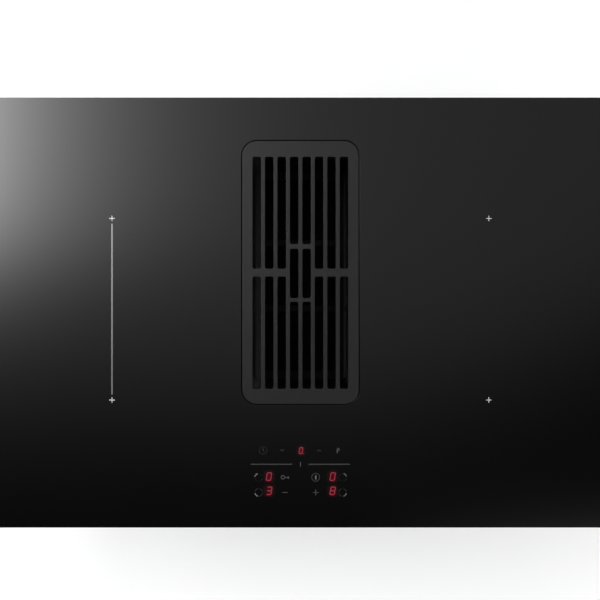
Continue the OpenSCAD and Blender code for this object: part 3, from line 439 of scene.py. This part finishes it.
def plate(low, high):
    """A single face that fills a rectangle at the lower corner's height."""
    bm = bmesh.new()
    bmesh.ops.create_grid(bm, x_segments=1, y_segments=1, size=0.5)
    middle = (low + high) / 2
    bmesh.ops.scale(bm, vec=(high.x - low.x, high.y - low.y, 1), verts=bm.verts[:])
    bmesh.ops.translate(bm, vec=(middle.x, middle.y, low.z), verts=bm.verts[:])
    return bm


def cut_windows(bm, windows):
    """Cuts along every window's sides and removes the faces inside: (x0, x1, y0, y1) each."""
    for axis, values in ((0, {w[i] for w in windows for i in (0, 1)}),
                         (1, {w[i] for w in windows for i in (2, 3)})):
        for value in sorted(values):
            at, across = [0, 0, 0], [0, 0, 0]
            at[axis], across[axis] = value, 1
            bmesh.ops.bisect_plane(bm, geom=everything(bm), plane_co=at, plane_no=across)
    inside = []
    for face in bm.faces:
        spot = face.calc_center_median()
        if any(w[0] < spot.x < w[1] and w[2] < spot.y < w[3] for w in windows):
            inside.append(face)
    bmesh.ops.delete(bm, geom=inside, context="FACES")


def thicken(bm, height):
    """Extrudes a flat sheet straight up into a closed slab."""
    grown = bmesh.ops.extrude_face_region(bm, geom=bm.faces[:], use_keep_orig=True)
    tops = [item for item in grown["geom"] if isinstance(item, bmesh.types.BMVert)]
    bmesh.ops.translate(bm, vec=(0, 0, height), verts=tops)
    bmesh.ops.recalc_face_normals(bm, faces=bm.faces[:])


def round_edges(bm, edges, radius, segments):
    bmesh.ops.bevel(bm, geom=edges, offset=radius, offset_type="OFFSET", affect="EDGES", segments=segments,
                    profile=0.5, material=-1, clamp_overlap=True, loop_slide=False)


def corner_posts(bm, chosen):
    """Upright edges where two walls meet at a sharp corner."""
    sharp = math.radians(57)
    found = []
    for edge in bm.edges:
        first, second = (vert.co for vert in edge.verts)
        upright = abs(first.z - second.z) > 0.01 * MM and len(edge.link_faces) == 2
        if upright and edge.calc_face_angle() > sharp and chosen(first):
            found.append(edge)
    return found


def rim_edges(bm, up):
    """Edges between a wall and the top (up=1) or the bottom (up=-1)."""
    level, steep = 0.9, 0.2
    found = []
    for edge in bm.edges:
        if len(edge.link_faces) == 2:
            facing = sorted(face.normal.z * up for face in edge.link_faces)
            if facing[1] > level and abs(facing[0]) < steep:
                found.append(edge)
    return found


# %% [markdown]
# ## The glass plate
#
# A plate with an opening is a face with a window, thickened. The corners are rounded before the rims, so
# that the ground chamfer follows the round corners, and the opening for the grille gets the same ground
# edge.

# %% Glass plate
grille_low, grille_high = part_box("grille")
grille_gap = 1.0 * MM
corner_round = 5.0 * MM
opening_round = 19.0 * MM
ground_edge = 0.4 * MM
window = (grille_low.x - grille_gap, grille_high.x + grille_gap,
          grille_low.y - grille_gap, grille_high.y + grille_gap)


def near_opening(spot):
    return window[0] - MM < spot.x < window[1] + MM and window[2] - MM < spot.y < window[3] + MM


sheet = plate(glass_low, glass_high)
cut_windows(sheet, [window])
thicken(sheet, glass_high.z - glass_low.z)
round_edges(sheet, corner_posts(sheet, near_opening), opening_round, 16)
round_edges(sheet, corner_posts(sheet, lambda spot: abs(spot.x) > glass_high.x - MM), corner_round, 8)
round_edges(sheet, rim_edges(sheet, 1), ground_edge, 2)
round_edges(sheet, rim_edges(sheet, -1), ground_edge, 2)
piece("glass_plate", sheet, finishes["black_glass"], "hob", ["glass_top"])

# %% [markdown]
# ## The cast grille
#
# Eight columns of slots leave a comb of bars. The six outer columns are split once in the middle; the two
# centre columns are split twice, which leaves a short ladder to lift the grille by. The slots are windows
# too, and their corners and rims are rounded as a casting's are.

# %% Grille slots
slot_width = 10.2 * MM
slot_pitch = 15.05 * MM
slot_columns = 8
end_borders = (18.3 * MM, 19.35 * MM)
cross_bar = (-5.0 * MM, 4.5 * MM)
centre_bars = ((-35.5 * MM, -31.0 * MM), (28.6 * MM, 34.2 * MM))
grille_middle = (grille_low.y + grille_high.y) / 2
slot_ends = (grille_low.y - grille_middle + end_borders[0], grille_high.y - grille_middle - end_borders[1])


def slot_windows():
    windows = []
    for column in range(slot_columns):
        x = (column - (slot_columns - 1) / 2) * slot_pitch
        bars = centre_bars if abs(x) < slot_pitch else (cross_bar,)
        stops = [slot_ends[0], *(end for bar_ends in bars for end in bar_ends), slot_ends[1]]
        for low, high in zip(stops[0::2], stops[1::2]):
            rows = grille_middle + low, grille_middle + high
            windows.append((x - slot_width / 2, x + slot_width / 2, *rows))
    return windows


# %% Grille casting
grille_round = 18.0 * MM
slot_round = 2.3 * MM
outer_edge, slot_edge, under_edge = 1.0 * MM, 0.35 * MM, 0.5 * MM
side_strip = 5 * MM


def near_slots(spot):
    along = spot.y - grille_middle
    return abs(spot.x) < grille_high.x - side_strip and slot_ends[0] - MM < along < slot_ends[1] + MM


casting_mesh = plate(grille_low, grille_high)
bmesh.ops.bevel(casting_mesh, geom=casting_mesh.verts[:], offset=grille_round, affect="VERTICES", segments=16,
                profile=0.5, material=-1)
cut_windows(casting_mesh, slot_windows())
thicken(casting_mesh, grille_high.z - grille_low.z)
round_edges(casting_mesh, corner_posts(casting_mesh, near_slots), slot_round, 4)
outer_rims = [edge for edge in rim_edges(casting_mesh, 1) if not near_slots(edge.verts[0].co)]
round_edges(casting_mesh, outer_rims, outer_edge, 4)
slot_rims = [edge for edge in rim_edges(casting_mesh, 1) if near_slots(edge.verts[0].co)]
round_edges(casting_mesh, slot_rims, slot_edge, 3)
round_edges(casting_mesh, rim_edges(casting_mesh, -1), under_edge, 2)
piece("grille_casting", casting_mesh, finishes["cast_iron"], "grille", ["grille"])

# %% [markdown]
# ## The grease filter
#
# The CAD keeps the filter's panels as plain sheets. Here they become expanded metal: a grid turned by 45
# degrees and squeezed into diamonds, trimmed to the panel, and given wires by the wireframe operator.

# %% Expanded metal panels
strand = 0.7 * MM
diamond = 6.0 * MM
squeeze = 0.55
mesh_low, mesh_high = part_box("filter_mesh")


def diamond_panel(width, height):
    """A flat panel of diamonds in X and Y, centred on the origin."""
    bm = bmesh.new()
    reach = int(max(width, height) / diamond) + 2
    bmesh.ops.create_grid(bm, x_segments=reach, y_segments=reach, size=reach * diamond / 2)
    bmesh.ops.rotate(bm, cent=(0, 0, 0), matrix=turned(45), verts=bm.verts[:])
    bmesh.ops.scale(bm, vec=(1.0, squeeze, 1.0), verts=bm.verts[:])
    for side in (Vector((1, 0, 0)), Vector((-1, 0, 0)), Vector((0, 1, 0)), Vector((0, -1, 0))):
        trim = side * (width if side.x else height) / 2
        bmesh.ops.bisect_plane(bm, geom=everything(bm), plane_co=trim, plane_no=side, clear_outer=True)
    bmesh.ops.wireframe(bm, faces=bm.faces[:], thickness=strand, use_replace=True, use_boundary=True,
                        use_even_offset=True, offset=0.5)
    return bm


def add_panel(target, width, height, turn, spot):
    """Adds one panel to the target, turned and moved to its window."""
    panel = diamond_panel(width, height)
    bmesh.ops.transform(panel, matrix=Matrix.Translation(spot) @ turn.to_4x4(), verts=panel.verts[:])
    mesh = bpy.data.meshes.new("panel")
    panel.to_mesh(mesh)
    panel.free()
    target.from_mesh(mesh)
    bpy.data.meshes.remove(mesh)


# %% Panels in their windows
panel_rows = 3
panel_gap = 8.0 * MM
panel_length = (mesh_high.y - mesh_low.y - (panel_rows - 1) * panel_gap) / panel_rows
panel_sill = 8.0 * MM
wall = 1.5 * MM
floor_width = mesh_high.x - mesh_low.x - 2 * (wall + panel_sill)
side_height = mesh_high.z - mesh_low.z - panel_sill
flat = turned(90)
upright = flat @ Matrix.Rotation(math.radians(90), 3, "X")
mesh_panels = bmesh.new()
for row in range(panel_rows):
    y = mesh_low.y + panel_length / 2 + row * (panel_length + panel_gap)
    for side in (-1, 1):
        spot = Vector((side * (mesh_high.x - wall / 2), y, mesh_low.z + panel_sill + side_height / 2))
        add_panel(mesh_panels, panel_length, side_height, upright, spot)
    add_panel(mesh_panels, panel_length, floor_width, flat, Vector((0, y, mesh_low.z + wall / 2)))
piece("filter_diamond_mesh", mesh_panels, mesh_coat, "filter", ["filter_mesh"])

# %% [markdown]
# ## Prints on the glass
#
# The zone crosses, the bridge line and the key symbols are fired onto the glass in pale ink. Each is a
# very thin solid: bars are single faces, arcs come from spinning one short edge, and all get a few
# hundredths of a millimetre of thickness.

# %% Ink finishes
ink_height = 0.03 * MM
ink_lift = 0.004 * MM
arc_step = 9
weld_gap = 0.0001


def ink(name, brightness):
    """Pale ceramic ink with tiny pinholes; brightness sets how pale a mark is drawn, and for some marks it
    carries painted light.
    """
    finish = Finish(name, Specular_IOR_Level=0.08)
    pinholes = finish.noise(0.25 * MM, detail=2.0)
    shade = (brightness, brightness, brightness * 0.99)
    finish.feed("Base Color", finish.blend(pinholes, dye(shade, 0.88), dye(shade, 1.08)))
    finish.feed("Roughness", pinholes.swing(0.45, 0.65))
    return finish.material


# %% Drawing with bars and arcs
def bar(bm, x, y, width, height, turn=0.0):
    """A flat bar around a point, in millimetres and degrees."""
    made = bmesh.ops.create_grid(bm, x_segments=1, y_segments=1, size=0.5)["verts"]
    bmesh.ops.scale(bm, vec=(width, height, 1), verts=made)
    bmesh.ops.rotate(bm, cent=(0, 0, 0), matrix=turned(turn), verts=made)
    bmesh.ops.translate(bm, vec=(x, y, 0), verts=made)
    return made


def arc(bm, x, y, radius, width, start, sweep):
    """A band of an arc around a point, in millimetres and degrees."""
    before = set(bm.verts)
    ends = [bm.verts.new((radius + way * width / 2, 0, 0)) for way in (-1, 1)]
    edge = bm.edges.new(ends)
    bmesh.ops.rotate(bm, cent=(0, 0, 0), matrix=turned(start), verts=ends)
    bmesh.ops.spin(bm, geom=[*ends, edge], cent=(0, 0, 0), axis=(0, 0, 1), angle=math.radians(sweep),
                   steps=int(sweep / arc_step), use_merge=sweep >= 360, use_duplicate=False)
    bmesh.ops.translate(bm, vec=(x, y, 0), verts=[vert for vert in bm.verts if vert not in before])


def printed(name, bm, finish):
    """Scales a drawing in millimetres to metres, lays it on the glass and gives it its thickness."""
    bmesh.ops.remove_doubles(bm, verts=bm.verts[:], dist=weld_gap)
    bmesh.ops.scale(bm, vec=(MM, MM, MM), verts=bm.verts[:])
    bmesh.ops.translate(bm, vec=(0, 0, glass_face + ink_lift), verts=bm.verts[:])
    thicken(bm, ink_height)
    return piece(name, bm, finish, "hob")


# %% Zone crosses and the bridge line
zone_x = 227.7
zone_rear, zone_front = 113.8, -105.7
cross_arm, cross_thick = 6.6, 0.8
half_arm = (cross_arm - cross_thick) / 2
# The crosses are one print, drawn at different brightness as painted light: brightest at the rear left, where
# the light is strongest, dimmer to the front and to the right.
crosses = (("rear_left", -zone_x, zone_rear, 0.95), ("front_left", -zone_x, zone_front, 0.8),
           ("rear_right", zone_x, zone_rear, 0.7), ("front_right", zone_x, zone_front, 0.7))
for label, x, y, brightness in crosses:
    cross = bmesh.new()
    bar(cross, x, y, cross_arm, cross_thick)
    for way in (-1, 1):
        bar(cross, x, y + way * (cross_thick + half_arm) / 2, cross_thick, half_arm)
    printed("zone_cross_" + label, cross, ink("ink " + label.replace("_", " "), brightness))

bridge_ends = (107.5, -99.3)
bridge_width = 1.7
bridge = Finish("bridge line ink")
# The line is drawn paler towards the rear: painted light, brighter towards the rear left.
painted_light_fade = bridge.axis("Y", size=207 * MM, centre=(0, bridge_ends[1] * MM, 0)).clamp()
bridge.feed("Base Color", bridge.blend(painted_light_fade, (0.14, 0.14, 0.14), (0.36, 0.36, 0.36)))
bridge.feed("Roughness", bridge.noise(0.3 * MM).swing(0.45, 0.65))
line = bmesh.new()
bar(line, -zone_x, sum(bridge_ends) / 2, bridge_width, bridge_ends[0] - bridge_ends[1])
printed("bridge_line", line, bridge.material)

# %% [markdown]
# ## Key symbols
#
# The symbols are generic: a clock, two arrows, a P for the boost level, a key for the lock, a power mark,
# minus and plus, and a small ring of four arcs beside each digit that shows which zone the digit belongs
# to.

# %% Rows of the control panel
row_top, row_line, row_middle, row_low = -166.4, -183.3, -199.0, -217.5
brightnesses = {"bright": 0.15, "middle": 0.095, "soft": 0.07, "line": 0.052, "faint": 0.034, "trace": 0.02,
                "unlit": 0.008}
inks = {name: ink("ink " + name, brightness) for name, brightness in brightnesses.items()}

lines = bmesh.new()
for x in (-35.1, 35.0):
    bar(lines, x, row_line, 50.0, 1.3)
printed("panel_lines", lines, inks["line"])
tick = bmesh.new()
bar(tick, 0.1, row_line, 0.8, 5.2)
printed("panel_tick", tick, inks["middle"])

# %% Top row: clock, arrows and P
clock = bmesh.new()
arc(clock, -45.1, row_top - 0.1, 4.6, 0.7, 0, 360)
printed("key_clock_ring", clock, inks["trace"])
hands = bmesh.new()
bar(hands, -45.2, row_top + 1.3, 0.95, 3.6)
bar(hands, -44.3, row_top - 0.8, 0.8, 2.4, 45)
printed("key_clock_hands", hands, inks["faint"])

arrows = bmesh.new()
for x, y, way in ((-22.3, 0.1, -1), (22.6, -0.3, 1)):
    for side in (-1, 1):
        bar(arrows, x + side * 1.15, row_top + y, 3.0, 1.0, -way * side * 36)
printed("key_arrows", arrows, inks["faint"])

letter = bmesh.new()
bar(letter, 44.5, row_top - 0.4, 1.2, 6.4)
arc(letter, 45.5, row_top + 0.95, 1.2, 1.5, -90, 180)
for y in (2.15, -0.25):
    bar(letter, 45.2, row_top + y, 1.1, 1.5)
printed("key_boost", letter, inks["soft"])

# %% Lower rows: lock, power, minus and plus
lock = bmesh.new()
arc(lock, -21.2, row_middle - 0.1, 2.1, 0.7, 0, 360)
bar(lock, -16.6, row_middle - 0.1, 5.0, 0.8)
bar(lock, -14.4, row_middle - 1.0, 0.9, 1.4)
bar(lock, -14.1, row_middle + 0.7, 0.9, 1.1)
printed("key_lock", lock, inks["middle"])

power_ring = bmesh.new()
arc(power_ring, 18.4, row_middle, 4.75, 0.8, 0, 360)
printed("key_power_ring", power_ring, inks["line"])
power_bar = bmesh.new()
bar(power_bar, 18.4, row_middle - 0.1, 1.4, 5.0)
printed("key_power_bar", power_bar, inks["bright"])

signs = bmesh.new()
bar(signs, -18.7, row_low + 0.1, 6.8, 0.8)
bar(signs, 18.5, row_low, 7.2, 0.75)
for way in (-1, 1):
    bar(signs, 18.5, row_low + way * 1.9, 0.9, 3.05)
printed("key_signs", signs, inks["soft"])

# %% Zone rings
ring_radius, ring_width, ring_sweep = 4.6, 1.35, 66
ring_places = (("rear_left", -50.6, row_middle - 0.4, 135), ("rear_right", 51.0, row_middle - 0.1, 45),
               ("front_left", -50.4, row_low + 0.2, 225), ("front_right", 51.0, row_low + 0.1, 315))
# The left rings are drawn brighter than the right ones: painted light from the left.
for label, x, y, lit in ring_places:
    mark = bmesh.new()
    arc(mark, x, y, ring_radius, ring_width, lit - ring_sweep / 2, ring_sweep)
    printed("ring_" + label, mark, inks["bright"] if label.endswith("left") else inks["middle"])
    others = bmesh.new()
    for place in (45, 135, 225, 315):
        if place != lit:
            arc(others, x, y, ring_radius, ring_width * 0.7, place - ring_sweep / 2, ring_sweep)
    printed("ring_rest_" + label, others, inks["trace"] if label.startswith("front") else inks["unlit"])

# %% [markdown]
# ## Lit digits
#
# Five seven-segment digits shine through the glass. A segment is a bar with chamfered ends, and the whole
# digit leans to the right. Around each digit the glass carries a little red light, made by a thin film
# whose glow falls off with the distance from the digit's middle.

# %% Digit finish
lit = Finish("lit segment", Emission_Strength=1.0, Roughness=0.3)
grain = lit.noise(1.2 * MM)
lit.feed("Emission Color", lit.blend(grain, (0.165, 0.0145, 0.031), (0.24, 0.027, 0.052)))
lit.feed("Base Color", lit.blend(grain, (0.05, 0.002, 0.004), (0.07, 0.003, 0.006)))

# %% Segments
lean = math.tan(math.radians(9))
reach, tip = 1.02, 0.42
segment_shapes = {"a": (0, 1, 1), "b": (1, 0.5, 0), "c": (1, -0.5, 0), "d": (0, -1, 1),
                  "e": (-1, -0.5, 0), "f": (-1, 0.5, 0), "g": (0, 0, 1)}
digits = {"0": "abcdef", "3": "abcdg", "8": "abcdefg"}


def digit(bm, shown, x, y, width, height, stroke):
    """One seven-segment digit around a point, in millimetres."""
    for name in digits[shown]:
        across, up, level = segment_shapes[name]
        length = (width - stroke if level else (height - stroke) / 2) * reach
        made = bar(bm, 0, 0, *((length, stroke) if level else (stroke, length)))
        ends = bmesh.ops.bevel(bm, geom=made, offset=stroke * tip, affect="VERTICES", segments=1,
                               profile=0.5, material=-1)["verts"]
        step = (across * (width - stroke) / 2, up * (height - stroke) / 2, 0)
        bmesh.ops.translate(bm, vec=step, verts=ends)
        for vert in ends:
            vert.co.x += vert.co.y * lean
        bmesh.ops.translate(bm, vec=(x, y, 0), verts=ends)


digit_places = (("timer", "0", 0.7, row_top - 0.4, 5.0, 8.4, 1.25),
                ("rear_left", "0", -38.0, row_middle + 0.8, 6.6, 10.4, 1.35),
                ("rear_right", "0", 39.0, row_middle + 0.8, 6.6, 10.4, 1.35),
                ("front_left", "3", -37.7, row_low + 2.1, 6.8, 10.4, 1.4),
                ("front_right", "8", 39.0, row_low + 2.1, 6.7, 10.4, 1.4))
for label, shown, x, y, width, height, stroke in digit_places:
    shape = bmesh.new()
    digit(shape, shown, x, y, width, height, stroke)
    if label == "timer":
        bar(shape, x + 3.1, y - 3.8, 0.8, 0.8)
    printed("digit_" + label, shape, lit.material)

# %% Glow films
glow = Finish("red glow", Emission_Strength=1.0)
films = bmesh.new()
halos = []
for _, _, x, y, width, height, _ in digit_places:
    sideways = glow.axis("X", size=width * 0.6 * MM, centre=(x * MM, 0, 0))
    upwards = glow.axis("Y", size=height * 0.56 * MM, centre=(0, y * MM, 0))
    halos.append(sideways.bell() * upwards.bell())
    made = bar(films, x, y, width * 2.2, height * 1.45)
    bmesh.ops.bevel(films, geom=made, offset=3.0, affect="VERTICES", segments=6, profile=0.5, material=-1)
total = sum(halos).clamp()
glow.feed("Emission Color", glow.blend(total, (0.0, 0.0, 0.0), (0.058, 0.0, 0.0008)))
glow.feed("Base Color", glow.blend(total, (0.003, 0.003, 0.0032), (0.004, 0.002, 0.002)))
wiped(glow)
film = 0.001 * MM
bmesh.ops.scale(films, vec=(MM, MM, MM), verts=films.verts[:])
bmesh.ops.translate(films, vec=(0, 0, glass_face + film), verts=films.verts[:])
thicken(films, film)
piece("digit_glow", films, glow.material, "hob")

# %% [markdown]
# ## The CAD parts that stay
#
# Most solids keep their CAD mesh and only get a finish. A CAD mesh is loose triangles, so a Weld modifier
# joins them, and a narrow Bevel modifier then catches light along the edges of the mouldings and
# pressings that show.

# %% Finishes for the CAD nodes
slots = {row["node"]: row["material_slot"] for row in frame["record"]["subparts"]}
own = {"inlet_collar": shaft_black, "drip_tray": shaft_black, "filter_frame": cassette_coat}
for name, node in nodes.items():
    node.data.materials.clear()
    node.data.materials.append(own.get(name, finishes[slots[name]]))

eased = {"suction_box": 1.2, "suction_cover": 0.6, "base_pan": 0.4, "outlet_spigot": 0.6,
         "terminal_box": 0.8, "driver_box": 0.8, "inlet_collar": 0.4, "drip_tray": 0.6, "filter_frame": 0.3,
         "cable_gland": 0.5, "worktop_clamps": 0.35}
for name, width in eased.items():
    node = nodes[name]
    weld = node.modifiers.new("weld", "WELD")
    weld.merge_threshold = 0.01 * MM
    flatten = node.modifiers.new("flatten", "DECIMATE")
    flatten.decimate_type = "DISSOLVE"
    flatten.angle_limit = math.radians(1)
    ease = node.modifiers.new("ease", "BEVEL")
    ease.width = width * MM
    ease.segments = 2
    ease.limit_method = "ANGLE"
    ease.angle_limit = math.radians(50)
    weigh_normals(node)
print("eased edges on", len(eased), "CAD parts")

# %% [markdown]
# ## Floor and light
#
# The glass is a mirror, so the light over it is part of its look. A broad panel hangs above, bright at
# one corner and fading across and towards the cook, as a tilted studio panel does. A slightly cloudy sky
# and a few soft lamps fill in the sides and keep the floor pale.

# %% Stage helper
def stage(name, bm, finish):
    """Makes an object of a bmesh that belongs to the stage and not to the hob."""
    mesh = bpy.data.meshes.new(name)
    bm.to_mesh(mesh)
    bm.free()
    mesh.materials.append(finish)
    made = bpy.data.objects.new(name, mesh)
    bpy.context.scene.collection.objects.link(made)
    return made


# %% Floor: brighter far away, and clear from below so that the underside can be seen
floor_half = 19.0
glow_start, glow_reach = 0.2, 7.0
pale = Finish("pale floor", Emission_Strength=0.5)
soft = pale.noise(0.4, detail=2.0)
distance = pale.node("ShaderNodeVectorMath", {"operation": "LENGTH"}, {0: pale.place(glow_reach)}, "Value")
far = (distance - glow_start).clamp()
pale.feed("Emission Color", pale.blend(far, (1.0, 1.0, 1.0), (1.4, 1.4, 1.4)))
pale.feed("Base Color", pale.blend(soft, (0.6, 0.6, 0.6), (0.64, 0.64, 0.64)))
pale.feed("Roughness", soft.swing(0.75, 0.85))
pale.vanish(pale.node("ShaderNodeNewGeometry", {}, {}, "Backfacing"))
floor_sheet = bmesh.new()
bmesh.ops.create_grid(floor_sheet, x_segments=1, y_segments=1, size=floor_half)
stage("floor", floor_sheet, pale.material)

# %% Backdrop: a pale dome that only the camera sees
dark_base = {"Base_Color": (0, 0, 0, 1), "Specular_IOR_Level": 0.0, "Emission_Strength": 1.0}
backdrop = Finish("pale backdrop", **dark_base)
haze = backdrop.noise(9.0, detail=1.0)
backdrop.feed("Emission Color", backdrop.blend(haze, (0.985, 0.985, 0.985), (1.0, 1.0, 1.0)))
shell = bmesh.new()
bmesh.ops.create_uvsphere(shell, u_segments=48, v_segments=24, radius=20.0)
bmesh.ops.reverse_faces(shell, faces=shell.faces[:])
dome = stage("backdrop", shell, backdrop.material)
dome.visible_diffuse = dome.visible_glossy = dome.visible_transmission = dome.visible_shadow = False

# %% [markdown]
# ## The light panel
#
# A point of the panel is mirrored in the glass at a smaller scale, set by the heights of the panel and
# the camera. Patterns on the panel are divided by that scale, so that each number below is a place on the
# glass, in metres. The panel's level is a sum: a bright corner that falls away from the left, an even
# field that ends towards the cook, and a little light near the front right. Its borders fade to clear, so
# that no straight edge is mirrored.

# %% Light panel
panel_rise = 1.5
mirror_scale = 1 + panel_rise / camera_rise
panel_low, panel_high = Vector((-1.9, -1.2, 0)), Vector((1.4, 1.5, 0))
light = Finish("light panel", **dark_base)
x = light.axis("X", size=mirror_scale)
y = light.axis("Y", size=mirror_scale, centre=(0, view_centre.y, 0))

left_edge = x.step(-0.5, 0.03)
rear_edge = 1.0 - y.step(0.4, 0.035)
x_limited = x.at_least(-0.42)
corner_fall = ((x_limited + 0.3585) * (-1 / 0.1005)).exp()
corner = corner_fall * y.step(0.0635, 0.0387) * left_edge * rear_edge * 7.2

right = x_limited.at_least(0.0)
even = (y - right * right * 0.64).step(-0.103, 0.0545) * (0.46 - right * 0.18)
front_rise = ((y + 0.27) * (-1 / 0.03)).exp()
front = (right - 0.06).at_least(0.0) * front_rise * 0.65
base_level = 0.018

level = corner + even + front + base_level
channels = dict.fromkeys(("Red", "Green", "Blue"), level)
light.feed("Emission Color", light.node("ShaderNodeCombineColor", {}, channels))
sides = x.step(-0.62, 0.03) * (1.0 - x.step(0.47, 0.02))
ends = y.step(-0.4, 0.02) * (1.0 - y.step(0.5, 0.022))
light.vanish(1.0 - sides * ends)

panel_sheet = plate(panel_low, panel_high)
bmesh.ops.translate(panel_sheet, vec=(0, 0, glass_face + panel_rise), verts=panel_sheet.verts[:])
stage("light_panel", panel_sheet, light.material).visible_camera = False
print("the panel is mirrored at", round(1 / mirror_scale, 2), "of its size")

# %% Sky
world = bpy.data.worlds.new("sky")
world.use_nodes = True
sky = world.node_tree
clouds = sky.nodes.new("ShaderNodeTexNoise")
clouds.inputs["Scale"].default_value = 1.3
clouds.inputs["Detail"].default_value = 0.0
spread = sky.nodes.new("ShaderNodeMapRange")
for socket, value in {"From Min": 0.35, "From Max": 0.65, "To Min": 0.3, "To Max": 0.75}.items():
    spread.inputs[socket].default_value = value
sky.links.new(sky.nodes.new("ShaderNodeTexCoord").outputs["Generated"], clouds.inputs["Vector"])
sky.links.new(clouds.outputs["Fac"], spread.inputs["Value"])
sky.links.new(spread.outputs["Result"], sky.nodes["Background"].inputs["Strength"])
sky.nodes["Background"].inputs["Color"].default_value = (1.0, 1.0, 1.0, 1.0)
bpy.context.scene.world = world


# %% Lamps
def lamp(name, spot, aim, power, size=1.2):
    """A soft square lamp that lights the matt parts and isn't mirrored in the glass."""
    data = bpy.data.lights.new(name, "AREA")
    data.shape, data.size, data.energy = "SQUARE", size, power
    made = bpy.data.objects.new(name, data)
    made.location = spot
    made.rotation_euler = (Vector(aim) - Vector(spot)).to_track_quat("-Z", "Y").to_euler()
    made.visible_glossy = False
    bpy.context.scene.collection.objects.link(made)


lamp("lamp_left", (-2.6, 0.9, 1.9), (0, 0, 0.1), 22)
lamp("lamp_rear", (0.4, 2.8, 1.7), (0, 0.2, 0.0), 14)
lamp("lamp_front", (0.2, -2.8, 1.7), (0, -0.2, 0.0), 12)
print("lamps and sky are set")
